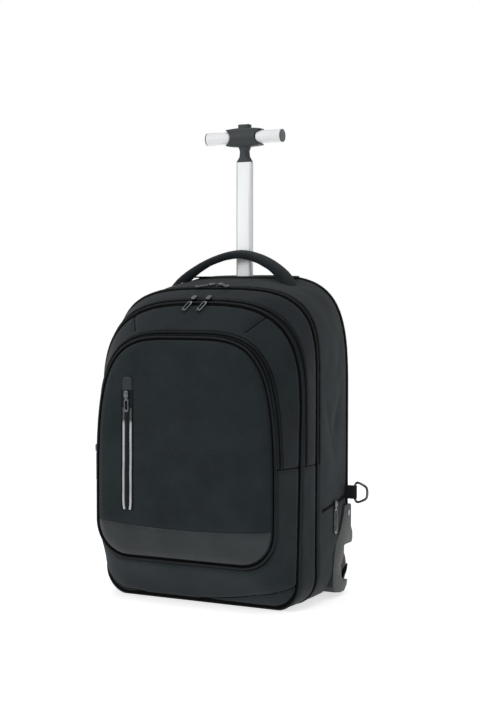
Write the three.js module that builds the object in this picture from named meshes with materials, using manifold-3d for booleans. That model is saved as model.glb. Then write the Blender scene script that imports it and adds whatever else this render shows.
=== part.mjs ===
// Wheeled backpack with a T-shaped pull handle on one telescopic tube.
// Millimetres. Seen from the front, X runs to the right, Y to the back and Z up from the floor.

import * as THREE from 'three';
import { mergeVertices } from 'three/addons/utils/BufferGeometryUtils.js';
import Module from 'manifold-3d';

const wasm = await Module();
wasm.setup();

// Clearance between pieces that touch
const gap = 0.3;

// Bag body
const bagWidth = 340;
const bagHeight = 492;
const mainDepth = 120;
const organizerDepth = 47;
const pocketDepth = 51;
const cloth = 2.4;
const mainSwell = 1.5;
const middleSwell = 0.8;
const taperHeight = 300;

// Front pocket and its leather-look band
const pocketWidth = 299;
const pocketHeight = 333;
const pocketLift = 67;
const pocketCrown = 12;
const pocketRoom = 13;
const pocketBackWall = 1.6;
const bandHeight = 50;
const bandSmile = 7.5;

// Piping that edges the panels
const pipingRadius = 2.2;
const pipingProud = 1.4;
const pipingSides = 5;

// Padded back panel
const backPad = 3.6;
const backCrown = 6;

// Front zip with its two bright stripes and the cover tab over its upper end
const frontZipX = -88.5;
const frontZipLength = 178;
const frontZipLow = 142;
const frontZipWidth = 20;
const tapeThickness = 0.9;
const stripeWidth = 3.2;
const stripeLength = 145;
const stripeSpacing = 12.4;
const stripeThickness = 0.6;
const garageLength = 20;
const garageWidth = 16;
const garageThickness = 1.4;

// Zip sliders and pulls
const sliderWidth = 8;
const sliderLength = 11;
const sliderThickness = 3;
const pullWidth = 8;
const pullLength = 21;
const pullThickness = 1.8;
const pullRail = 1.9;
const pullRoundness = 0.4;
const topPullSpacing = 25;
const mainPullSpacing = 14.3;
const organizerPullLean = 0.35;
const mainPullLean = 1.3;
const edgePullHeight = 229;
const edgePullLength = 44;

// Zips that run round the bag just behind a seam, with how far behind it at the top and at the lower ends
const zipWidth = 7;
const zipEnd = 212;
const zipLift = 0.8;
const zipBehind = 7.5;
const organizerZipSpread = 14;
const pocketZipSpread = 12;

// Carry handle
const carrySpan = 212;
const carryRise = 62;
const carryAbove = 40;
const carryWidth = 27;
const carryThickness = 12;
const carryFootGrowth = 1.6;
const carryForward = 42;
const carryLean = 15;
const carryTilt = 0.24;
const carryRoundness = 1.65;
const carrySquareness = 0.7;

// Side zip on the right-hand side
const sideZipAbove = 3;
const sideZipRise = 10;
const sideZipLength = 91;
const sideZipWidth = 5;
const sideZipBehind = 13;
const sideSliderAt = 0.5;
const sidePullLength = 40;

// Webbing tabs and rings for the lower strap ends
const tabHeight = 26;
const tabReach = 13;
const tabThickness = 2.4;
const ringAbove = 20;
const ringWidth = 22;
const ringHeight = 32;
const ringWire = 3.4;
const ringForward = 7;

// Wheels and housings
const wheelRadius = 35;
const wheelLift = 2;
const wheelForward = 15;
const wheelWidth = 22;
const hubRadius = 19;
const axleRadius = 4;
const axleHeadRadius = 7;
const axleHeadThickness = 2;
const housingHeight = 132;
const housingLift = 5;
const housingDepth = 72;
const housingRear = 8;
const housingProud = 3.5;
const housingWidth = 38;
const cheek = 3;
const outerCheek = 6;
const wheelClearance = 3;

const housingTop = housingLift + housingHeight;
const sideZipLow = housingTop + sideZipAbove;
const ringMiddle = housingTop + ringAbove;

// Trolley
const trolleyForward = 16.5;
const tubeWidth = 28.5;
const tubeDepth = 11.5;
const tubeWall = 1.2;
const tubeLength = 440;
const tubeShown = 179;
const slideClearance = 0.4;
const sleeveWall = 1.6;
const trayLength = 148;
const trayDepth = 24;
const trayWall = 1.6;
const trayRecess = 24;
const flangeLength = 184;
const flangeThickness = 2.2;
const flangeFront = 1.8;

const tubeTop = bagHeight + tubeShown;

// T-handle
const neckHeight = 24;
const hubLength = 62;
const hubHeight = 30;
const hubDepth = 23;
const hubWaist = 41;
const hubBarrel = 1.6;
const plugLength = 16;
const gripRadius = 10.5;
const gripEnd = 64.7;
const capThickness = 2;
const capRadius = 10.2;
const buttonLength = 20;
const buttonDepth = 12;
const buttonProud = 5.5;
const buttonSunk = 5;
const buttonPress = 3;

const looks = {
  fabric: { color: '#2b2e31', roughness: 0.92, metalness: 0 },
  piping: { color: '#17191a', roughness: 0.6, metalness: 0 },
  leather: { color: '#3a3d40', roughness: 0.45, metalness: 0 },
  mesh: { color: '#26282a', roughness: 0.95, metalness: 0 },
  webbing: { color: '#16181a', roughness: 0.85, metalness: 0 },
  tape: { color: '#1b1d1f', roughness: 0.8, metalness: 0 },
  stripe: { color: '#a8abad', roughness: 0.4, metalness: 0.1 },
  blackMetal: { color: '#1d1f20', roughness: 0.3, metalness: 0.8 },
  housing: { color: '#4c5050', roughness: 0.45, metalness: 0 },
  rubber: { color: '#141516', roughness: 0.8, metalness: 0 },
  wheelPlastic: { color: '#2a2c2d', roughness: 0.5, metalness: 0 },
  steel: { color: '#9a9c9d', roughness: 0.3, metalness: 1 },
  aluminium: { color: '#e4e6e6', roughness: 0.3, metalness: 1 },
  hubPlastic: { color: '#3a3f42', roughness: 0.5, metalness: 0 },
  gripPlastic: { color: '#eceeef', roughness: 0.3, metalness: 0.1 },
  capPlastic: { color: '#555a5c', roughness: 0.5, metalness: 0 },
};

const bag = new THREE.Group();

function addMesh(name, geometry, look) {
  const mesh = new THREE.Mesh(geometry, new THREE.MeshStandardMaterial(looks[look]));
  mesh.name = name;
  bag.add(mesh);
  return mesh;
}

// Closed solids from rows of points

function triangleVolume(position, index, at) {
  const corner = (k) => new THREE.Vector3(...position.slice(index[at + k] * 3, index[at + k] * 3 + 3));
  return corner(0).dot(corner(1).cross(corner(2))) / 6;
}

function solidGeometry(position, index) {
  let volume = 0;
  for (let i = 0; i < index.length; i += 3) {
    volume += triangleVolume(position, index, i);
  }
  const faces = volume > 0 ? index : index.slice().reverse();
  const geometry = new THREE.BufferGeometry();
  geometry.setAttribute('position', new THREE.Float32BufferAttribute(position, 3));
  geometry.setIndex(faces);
  return geometry;
}

// Two triangles over a four-sided patch, folded along its shorter diagonal
function splitQuad(position, a, b, c, d) {
  const point = (i) => new THREE.Vector3(...position.slice(i * 3, i * 3 + 3));
  const folded = point(b).distanceTo(point(c)) <= point(a).distanceTo(point(d));
  return folded ? [a, b, c, b, d, c] : [a, b, d, a, d, c];
}

// Joins each row of points to the next. A closed loft also joins the last row to the first,
// and an open one is closed by a fan over each end row.
function loft(rows, closed = false) {
  const count = rows[0].length;
  const position = rows.flat().flatMap((p) => [p.x, p.y, p.z]);
  const index = [];
  const joins = closed ? rows.length : rows.length - 1;
  for (let i = 0; i < joins; i++) {
    const next = ((i + 1) % rows.length) * count;
    for (let j = 0; j < count; j++) {
      const k = (j + 1) % count;
      const corners = [i * count + j, i * count + k, next + j, next + k];
      index.push(...splitQuad(position, ...corners));
    }
  }
  if (!closed) {
    for (const [start, row, flip] of [[0, rows[0], true], [(rows.length - 1) * count, rows.at(-1), false]]) {
      const centre = row.reduce((sum, p) => sum.add(p), new THREE.Vector3()).divideScalar(count);
      const hub = position.length / 3;
      position.push(centre.x, centre.y, centre.z);
      for (let j = 0; j < count; j++) {
        const k = (j + 1) % count;
        const pair = flip ? [start + k, start + j] : [start + j, start + k];
        index.push(hub, ...pair);
      }
    }
  }
  return solidGeometry(position, index);
}

// Booleans

function toSolid(geometry) {
  const bare = geometry.clone();
  bare.deleteAttribute('normal');
  bare.deleteAttribute('uv');
  const merged = mergeVertices(bare, 1e-4);
  return new wasm.Manifold(new wasm.Mesh({
    numProp: 3,
    vertProperties: new Float32Array(merged.attributes.position.array),
    triVerts: new Uint32Array(merged.index.array),
  }));
}

function toGeometry(solid) {
  const mesh = solid.getMesh();
  const geometry = new THREE.BufferGeometry();
  geometry.setAttribute('position', new THREE.BufferAttribute(mesh.vertProperties, 3));
  geometry.setIndex(new THREE.BufferAttribute(mesh.triVerts, 1));
  return geometry;
}

function cut(base, ...tools) {
  return toGeometry(tools.reduce((solid, tool) => solid.subtract(toSolid(tool)), toSolid(base)));
}

function join(base, ...extras) {
  return toGeometry(extras.reduce((solid, extra) => solid.add(toSolid(extra)), toSolid(base)));
}

function keep(base, ...tools) {
  return toGeometry(tools.reduce((solid, tool) => solid.intersect(toSolid(tool)), toSolid(base)));
}

function boxBetween(low, high) {
  const size = high.map((value, i) => value - low[i]);
  const centre = high.map((value, i) => (value + low[i]) / 2);
  return new THREE.BoxGeometry(...size).translate(...centre);
}

// A flat outline in the plane of two axes, pushed along the third: 'x' takes (y, z), 'y' takes (x, z)
function extrudeAlong(axis, shape, from, to, curveSegments = 8) {
  const geometry = new THREE.ExtrudeGeometry(shape, { depth: to - from, bevelEnabled: false, curveSegments });
  const turn = new THREE.Matrix4();
  if (axis === 'x') {
    turn.makeBasis(new THREE.Vector3(0, 1, 0), new THREE.Vector3(0, 0, 1), new THREE.Vector3(1, 0, 0));
    geometry.applyMatrix4(turn).translate(from, 0, 0);
  } else if (axis === 'y') {
    turn.makeBasis(new THREE.Vector3(1, 0, 0), new THREE.Vector3(0, 0, 1), new THREE.Vector3(0, -1, 0));
    geometry.applyMatrix4(turn).translate(0, to, 0);
  } else {
    geometry.translate(0, 0, from);
  }
  return geometry;
}

function roundedRectangle(width, height, radius, shape = new THREE.Shape()) {
  const x = width / 2 - radius;
  const y = height / 2 - radius;
  shape.absarc(x, y, radius, 0, Math.PI / 2);
  shape.absarc(-x, y, radius, Math.PI / 2, Math.PI);
  shape.absarc(-x, -y, radius, Math.PI, Math.PI * 1.5);
  shape.absarc(x, -y, radius, Math.PI * 1.5, Math.PI * 2);
  shape.closePath();
  return shape;
}

// Seam loops of the bag. Each is flat, lies across the bag at its own depth and has straight sides,
// round lower corners and superellipse shoulders. Shoulder is a share of the loop's height, corner of
// half its width, and taper is the share of its width that it loses down to the floor.
const seamTable = [
  { name: 'back', behind: 0, width: 1, top: 1, shoulder: 0.428, roundness: 4.0, corner: 0.265, taper: 0 },
  {
    name: 'main', behind: 1, width: 1.012, top: 0.961, shoulder: 0.296, roundness: 3.5, corner: 0.265,
    taper: 0,
  },
  { name: 'organizer', behind: 2, width: 0.994, top: 0.916, shoulder: 0.348, roundness: 3.0, corner: 0.235,
    taper: 0.036 },
  { name: 'pocket', behind: 3, shoulder: 0.82, roundness: 4.0, corner: 0.367, taper: 0 },
];
const depths = [mainDepth, organizerDepth, pocketDepth];
const cornerSteps = 4;
const shoulderSteps = 13;

const seams = {};
for (const row of seamTable) {
  const onPocket = row.name === 'pocket';
  const height = onPocket ? pocketHeight : bagHeight * row.top;
  const halfWidth = onPocket ? pocketWidth / 2 : bagWidth * row.width / 2;
  const bottom = onPocket ? pocketLift : 0;
  seams[row.name] = {
    y: -depths.slice(0, row.behind).reduce((sum, depth) => sum + depth, 0),
    halfWidth,
    bottom,
    top: bottom + height,
    shoulder: height * row.shoulder,
    roundness: row.roundness,
    corner: halfWidth * row.corner,
    taper: row.taper,
  };
}

function seamPoints(seam, lift = 0) {
  const bottom = seam.bottom + lift;
  const right = [];
  for (let i = 0; i <= cornerSteps; i++) {
    const angle = (i / cornerSteps - 1) * Math.PI / 2;
    right.push([
      seam.halfWidth - seam.corner * (1 - Math.cos(angle)),
      bottom + seam.corner * (1 + Math.sin(angle)),
    ]);
  }
  for (let i = 0; i < shoulderSteps; i++) {
    const angle = (i / shoulderSteps) * Math.PI / 2;
    right.push([
      seam.halfWidth * Math.cos(angle) ** (2 / seam.roundness),
      seam.top - seam.shoulder * (1 - Math.sin(angle) ** (2 / seam.roundness)),
    ]);
  }
  const narrowed = right.map(([x, z]) => [x * (1 - seam.taper * Math.max(0, 1 - z / taperHeight)), z]);
  const left = narrowed.map(([x, z]) => [-x, z]).reverse();
  return [...narrowed, [0, seam.top], ...left].map(([x, z]) => new THREE.Vector2(x, z));
}

// Moves a loop of points inwards by an even distance
function insetPoints(points, inset) {
  const count = points.length;
  return points.map((point, i) => {
    const before = point.clone().sub(points[(i + count - 1) % count]).normalize();
    const after = points[(i + 1) % count].clone().sub(point).normalize();
    const normal = new THREE.Vector2(-(before.y + after.y), before.x + after.x).normalize();
    const spread = Math.max(0.5, normal.x * -before.y + normal.y * before.x);
    return point.clone().addScaledVector(normal, inset / spread);
  });
}

function atDepth(points, y) {
  return points.map((point) => new THREE.Vector3(point.x, y, point.y));
}

// The bag's skin at any depth: a blend of the seam loops in front of it and behind it
function skinPoints(y) {
  const list = Object.values(seams);
  const found = list.findIndex((seam) => seam.y <= y);
  const front = list[Math.max(1, found < 0 ? list.length - 1 : found)];
  const rear = list[list.indexOf(front) - 1];
  const share = (rear.y - y) / (rear.y - front.y);
  const frontPoints = seamPoints(front);
  return seamPoints(rear).map((point, i) => point.lerp(frontPoints[i], share));
}

function skinLoop(y, inset = 0) {
  return atDepth(insetPoints(skinPoints(y), inset), y);
}

// Height of the skin's upper side at a place seen from above
function skinTop(x, y) {
  const points = skinPoints(y);
  const half = points.slice(cornerSteps + 1, points.length / 2 + 1);
  for (let i = 1; i < half.length; i++) {
    const [outer, inner] = [half[i - 1], half[i]];
    if (Math.abs(x) >= inner.x) {
      const share = (outer.x - Math.abs(x)) / (outer.x - inner.x);
      return outer.y + (inner.y - outer.y) * share;
    }
  }
  return half.at(-1).y;
}

// Half the skin's width at a depth and height
function skinSide(y, z) {
  const points = skinPoints(y);
  const half = points.slice(0, points.length / 2 + 1);
  const above = half.findIndex((point) => point.y > z);
  const [low, high] = [half[above - 1], half[above]];
  return low.x + (high.x - low.x) * (z - low.y) / (high.y - low.y);
}

// The main wall's outer face beside a depth and height
function mainSide(y, z) {
  const share = y / seams.main.y;
  return skinSide(y, z) + mainSwell * 4 * share * (1 - share);
}

// The underside lies flat on the floor, whatever the swell
function aboveHeight(points, height) {
  return points.map((point) => new THREE.Vector3(point.x, point.y, Math.max(point.z, height)));
}

// A wall of cloth that runs round the bag from one depth to another
function clothBand(rear, front, steps, swell) {
  const outer = [];
  const inner = [];
  for (let i = 0; i <= steps; i++) {
    const share = i / steps;
    const y = rear + (front - rear) * share;
    const bulge = swell * 4 * share * (1 - share);
    outer.push(aboveHeight(skinLoop(y, -bulge), 0));
    inner.unshift(aboveHeight(skinLoop(y, cloth - bulge), cloth));
  }
  return loft([...outer, ...inner], true);
}

function piping(seam) {
  const rows = [];
  const points = seamPoints(seam, seam.bottom > 0 ? 0 : pipingProud);
  for (let i = 0; i < pipingSides; i++) {
    const angle = (i / pipingSides) * Math.PI * 2;
    const inset = pipingRadius - pipingProud + pipingRadius * Math.sin(angle);
    rows.push(atDepth(insetPoints(points, inset), seam.y + pipingRadius * Math.cos(angle)));
  }
  return loft(rows, true);
}

// The outer face of the front pocket as shrinking copies of its rim: size is a share of the rim's,
// rise a share of the crown
const crownTable = [
  { size: 1, rise: 0 },
  { size: 0.984, rise: 0.4 },
  { size: 0.94, rise: 0.7 },
  { size: 0.85, rise: 0.88 },
  { size: 0.6, rise: 0.98 },
  { size: 0.25, rise: 1 },
];
const pocketRim = 2 * pipingRadius - pipingProud + gap;
const pocketMiddle = pocketLift + pocketHeight / 2;

function crownLoop(row, lift) {
  const rim = insetPoints(seamPoints(seams.pocket), pocketRim);
  return rim.map((point) => new THREE.Vector3(
    point.x * row.size,
    seams.pocket.y - row.rise * pocketCrown - lift,
    pocketMiddle + (point.y - pocketMiddle) * row.size,
  ));
}

// The space behind a copy of the pocket's face that stands off it by lift, back to a flat plane
function pocketBlock(lift, plane) {
  const rows = crownTable.map((row) => crownLoop(row, lift));
  const rear = rows[0].map((point) => new THREE.Vector3(point.x, plane, point.z));
  return loft([rear, ...rows]);
}

// A layer that follows the pocket's face between two heights above it
function pocketLayer(low, high) {
  const plane = seams.pocket.y - low;
  return cut(pocketBlock(high, Math.max(plane, seams.pocket.y)), pocketBlock(low, plane + pocketCrown));
}

// A point on the pocket's face, near enough for pieces that stand off it
function pocketFace(x, z) {
  const across = Math.abs(x) / (pocketWidth / 2);
  const upright = Math.abs(z - pocketMiddle) / (pocketHeight / 2);
  const size = Math.min(1, Math.max(across, upright));
  const next = crownTable.findIndex((row) => row.size <= size);
  if (next < 1) {
    return seams.pocket.y - pocketCrown;
  }
  const [outer, inner] = [crownTable[next - 1], crownTable[next]];
  const share = (outer.size - size) / (outer.size - inner.size);
  return seams.pocket.y - pocketCrown * (outer.rise + (inner.rise - outer.rise) * share);
}

const seamHalf = pipingRadius + gap;
const mainSteps = 3;
const middleSteps = 2;

// Wheel housing: the side outline as shares of its depth (front to back) and height
const housingFront = housingRear - housingDepth;
const wheelY = -wheelForward;
const wheelZ = wheelLift + wheelRadius;
const housingOuter = bagWidth / 2 + housingProud;
const housingInner = housingOuter - housingWidth;
const wheelInner = housingInner + cheek + gap * 4;

const housingOutline = [
  { back: 0.1, up: 0.03 }, { back: 0.4, up: 0 }, { back: 0.62, up: 0 }, { back: 0.76, up: 0.06 },
  { back: 0.8, up: 0.14 }, { back: 0.8, up: 0.5 }, { back: 1.03, up: 0.54 }, { back: 1.08, up: 0.58 },
  { back: 1.08, up: 0.66 }, { back: 1, up: 0.73 }, { back: 1, up: 0.98 }, { back: 0.97, up: 1 },
  { back: 0.63, up: 1 }, { back: 0.58, up: 0.9 }, { back: 0.42, up: 0.74 }, { back: 0.2, up: 0.62 },
  { back: 0.08, up: 0.48 }, { back: 0.01, up: 0.28 }, { back: 0, up: 0.1 },
];
const outerOpening = [
  { back: 0.62, up: 0.54 }, { back: 0.6, up: 0.42 }, { back: 0.46, up: 0.32 }, { back: 0.46, up: 0.18 },
  { back: 0.6, up: 0.12 }, { back: 1.2, up: 0.12 }, { back: 1.2, up: 0.54 },
];

function housingShape(rows, grow = 0) {
  const points = rows.map((row) => new THREE.Vector2(
    housingFront + row.back * housingDepth,
    housingLift + row.up * housingHeight,
  ));
  return new THREE.Shape(insetPoints(points, -grow));
}

function mirrored(geometry) {
  const copy = geometry.index ? geometry.toNonIndexed() : geometry.clone();
  copy.deleteAttribute('normal');
  copy.deleteAttribute('uv');
  const merged = mergeVertices(copy, 1e-4);
  merged.scale(-1, 1, 1);
  merged.setIndex([...merged.index.array].reverse());
  return merged;
}

// Builds a right-hand piece and its mirror image
function addPair(name, geometry, look) {
  addMesh(`${name}_right`, geometry, look);
  addMesh(`${name}_left`, mirrored(geometry), look);
}

function cylinderAlongX(radius, from, to, y, z, segments = 24) {
  const turned = new THREE.CylinderGeometry(radius, radius, to - from, segments).rotateZ(Math.PI / 2);
  return turned.translate((from + to) / 2, y, z);
}

function housingEnvelope(side) {
  const [from, to] = [housingInner - gap, housingOuter + bagWidth];
  const block = extrudeAlong('x', housingShape(housingOutline, gap), from, to);
  const well = cylinderAlongX(wheelRadius + wheelClearance + gap, from, to, wheelY, wheelZ);
  const both = join(block, well);
  return side > 0 ? both : mirrored(both);
}

// Tray in the top of the bag that the T-handle folds into
const trolleyY = -trolleyForward;
const flangeTop = skinTop(0, trolleyY) + flangeThickness - gap;
const trayFloor = flangeTop - trayRecess;

function trayBlock(grow) {
  const half = trayLength / 2 + trayWall + grow;
  const reach = trayDepth / 2 + trayWall + grow;
  return boxBetween(
    [-half, trolleyY - reach, trayFloor - trayWall - grow],
    [half, trolleyY + reach, flangeTop + grow],
  );
}

function flangeBlock(grow) {
  const reach = trayDepth / 2 + trayWall + grow;
  const half = flangeLength / 2 + grow;
  const corner = trayDepth / 3;
  const shape = roundedRectangle(2 * half, 2 * reach + flangeFront, corner);
  const geometry = extrudeAlong('z', shape, flangeTop - flangeThickness - grow, flangeTop + grow, 4);
  return geometry.translate(0, trolleyY - flangeFront / 2, 0);
}

// Bag panels
function addPanels() {
  const { back, main, organizer, pocket } = seams;
  const rearClear = boxBetween(
    [-trayLength / 2 - trayWall - gap, trolleyY, trayFloor],
    [trayLength / 2 + trayWall + gap, back.y, flangeTop + bagHeight],
  );
  const gusset = clothBand(back.y - seamHalf, main.y + seamHalf, mainSteps, mainSwell);
  const housings = [housingEnvelope(1), housingEnvelope(-1)];
  addMesh('main_gusset', cut(gusset, trayBlock(gap), flangeBlock(gap), rearClear, ...housings), 'fabric');
  const middle = clothBand(main.y - seamHalf, organizer.y + seamHalf, middleSteps, middleSwell);
  addMesh('middle_gusset', middle, 'fabric');

  const slope = clothBand(organizer.y - seamHalf, pocket.y + seamHalf, 3, 0);
  addMesh('organizer_panel', slope, 'fabric');
  const wallY = pocket.y + pocketRoom;
  const wall = loft([skinLoop(wallY, cloth + gap), skinLoop(wallY + pocketBackWall, cloth + gap)]);
  addMesh('pocket_back', wall, 'fabric');

  addMesh('main_piping', piping(main), 'piping');
  addMesh('organizer_piping', piping(organizer), 'piping');
  addMesh('pocket_piping', piping(pocket), 'piping');
  const aboveHousing = boxBetween(
    [-bagWidth, -bagWidth, housingTop + gap],
    [bagWidth, bagWidth, bagHeight * 2],
  );
  addMesh('back_piping', keep(piping(back), aboveHousing), 'piping');

  const padRows = [
    { size: 1, y: back.y - backPad / 2 }, { size: 1, y: back.y + backPad / 2 },
    { size: 0.97, y: back.y + backPad / 2 + backCrown * 0.55 },
    { size: 0.86, y: back.y + backPad / 2 + backCrown * 0.9 },
    { size: 0.5, y: back.y + backPad / 2 + backCrown },
  ];
  const padRim = insetPoints(seamPoints(back), pocketRim);
  const pad = loft(padRows.map((row) => padRim.map((point) => new THREE.Vector3(
    point.x * row.size,
    row.y,
    bagHeight / 2 + (point.y - bagHeight / 2) * row.size,
  ))));
  addMesh('back_panel', cut(pad, ...housings), 'mesh');
}

// Front pocket: fabric above a smiling seam, leather-look band below it
function addPocket() {
  const { pocket } = seams;
  const shell = pocketLayer(-cloth, 0);
  const seamZ = pocketLift + bandHeight;
  const half = bagWidth / 2;
  const below = (shift) => {
    const shape = new THREE.Shape();
    const rise = bandSmile * (half / (pocketWidth / 2)) ** 2;
    shape.moveTo(-half, 0);
    shape.lineTo(half, 0);
    shape.lineTo(half, seamZ + rise + shift);
    shape.quadraticCurveTo(0, seamZ - rise + shift, -half, seamZ + rise + shift);
    shape.closePath();
    return extrudeAlong('y', shape, pocket.y - pocketDepth, pocket.y + pocketDepth, 12);
  };
  addMesh('pocket_band', keep(shell, below(0)), 'leather');
  addMesh('front_pocket', cut(shell, below(gap)), 'fabric');

  const tape = (name, x, width, low, high, from, thickness, look) => {
    const window = boxBetween([x - width / 2, pocket.y - bagWidth, low], [x + width / 2, pocket.y, high]);
    addMesh(name, keep(pocketLayer(from, from + thickness), window), look);
  };
  const zipHigh = frontZipLow + frontZipLength;
  const stripeFrom = gap + tapeThickness + gap;
  tape('front_zip', frontZipX, frontZipWidth, frontZipLow, zipHigh, gap, tapeThickness, 'tape');
  for (const [name, side] of [['zip_stripe_left', -1], ['zip_stripe_right', 1]]) {
    const x = frontZipX + side * stripeSpacing / 2;
    const low = frontZipLow + gap;
    tape(name, x, stripeWidth, low, low + stripeLength, stripeFrom, stripeThickness, 'stripe');
  }
  const garageLow = zipHigh + gap;
  const garageHigh = zipHigh + garageLength;
  tape('zip_garage', frontZipX, garageWidth, garageLow, garageHigh, gap, garageThickness, 'leather');
}

// How far a wall that swells in even steps stands off the skin
function bandSwell(y, rear, front, steps, swell) {
  const at = (rear.y - seamHalf - y) / (rear.y - front.y - 2 * seamHalf) * steps;
  const low = Math.floor(at);
  const [before, after] = [low, low + 1].map((step) => swell * 4 * (step / steps) * (1 - step / steps));
  return before + (after - before) * (at - low);
}

// A flat zip that runs up one side of the bag, over the top and down the other, spreading from its seam
function addRingZip(name, seam, spread, swellAt) {
  const onSkin = (y, height) => atDepth(insetPoints(skinPoints(y), -swellAt(y) - height), y);
  const edge = (offset, height) => {
    const [near, far] = [zipBehind, spread].map((behind) => onSkin(seam.y + behind + offset, height));
    const loop = near.map((point, i) => {
      const share = (seam.top - point.z) / (seam.top - zipEnd);
      return point.clone().lerp(far[i], Math.min(1, Math.max(0, share)));
    });
    const above = loop.filter((point) => point.z > zipEnd);
    const first = loop.findIndex((point) => point.z > zipEnd);
    const ends = [[loop[first - 1], above[0]], [loop[(first + above.length) % loop.length], above.at(-1)]];
    const [start, stop] = ends.map(([low, high]) => (
      low.clone().lerp(high, (zipEnd - low.z) / (high.z - low.z))));
    return [start, ...above, stop];
  };
  const half = zipWidth / 2;
  const top = zipLift + tapeThickness;
  const edges = [edge(-half, zipLift), edge(half, zipLift), edge(half, top), edge(-half, top)];
  addMesh(name, loft(edges[0].map((_, i) => edges.map((points) => points[i]))), 'tape');
}

const onMain = (y) => bandSwell(y, seams.back, seams.main, mainSteps, mainSwell);
const onMiddle = (y) => bandSwell(y, seams.main, seams.organizer, middleSteps, middleSwell);

function addRingZips() {
  addRingZip('main_zip', seams.main, zipBehind, onMain);
  addRingZip('organizer_zip', seams.organizer, organizerZipSpread, onMiddle);
  addRingZip('pocket_zip', seams.pocket, pocketZipSpread, () => 0);
}

// Zip sliders and pulls, built flat with the pull running down from the slider and the face towards +Z
function sliderGeometry() {
  const shape = roundedRectangle(sliderWidth, sliderLength, sliderWidth * 0.3);
  return extrudeAlong('z', shape, 0, sliderThickness, 1);
}

function pullGeometry(length, width) {
  const shape = roundedRectangle(width, length, width * pullRoundness);
  const [openingWidth, openingLength] = [width - 2 * pullRail, length - 4 * pullRail];
  const openingCorner = openingWidth * pullRoundness;
  shape.holes.push(roundedRectangle(openingWidth, openingLength, openingCorner, new THREE.Path()));
  return extrudeAlong('z', shape, 0, pullThickness, 1).translate(0, -length / 2, 0);
}

function stand(mesh, place, down, face) {
  const z = face.clone().normalize();
  const x = new THREE.Vector3().crossVectors(down.clone().negate(), z).normalize();
  const y = new THREE.Vector3().crossVectors(z, x);
  mesh.quaternion.setFromRotationMatrix(new THREE.Matrix4().makeBasis(x, y, z));
  mesh.position.copy(place);
}

// Places a slider on a surface point, and its pull beyond its lower end, lying down the surface
function addZipPull(names, place, down, face, length = pullLength, width = pullWidth) {
  const normal = face.clone().normalize();
  const along = down.clone().addScaledVector(normal, -down.dot(normal)).normalize();
  const seat = place.clone().addScaledVector(normal, gap);
  const start = seat.clone().addScaledVector(along, sliderLength / 2 + gap);
  stand(addMesh(names.slider, sliderGeometry(), 'blackMetal'), seat, along, normal);
  stand(addMesh(names.pull, pullGeometry(length, width), 'blackMetal'), start, along, normal);
}

// The direction down the top of a wall between two seams, and its outward facing
function topWall(rear, front) {
  const down = new THREE.Vector3(0, front.y - rear.y, front.top - rear.top).normalize();
  return { down, up: new THREE.Vector3(0, down.z, -down.y) };
}

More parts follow.
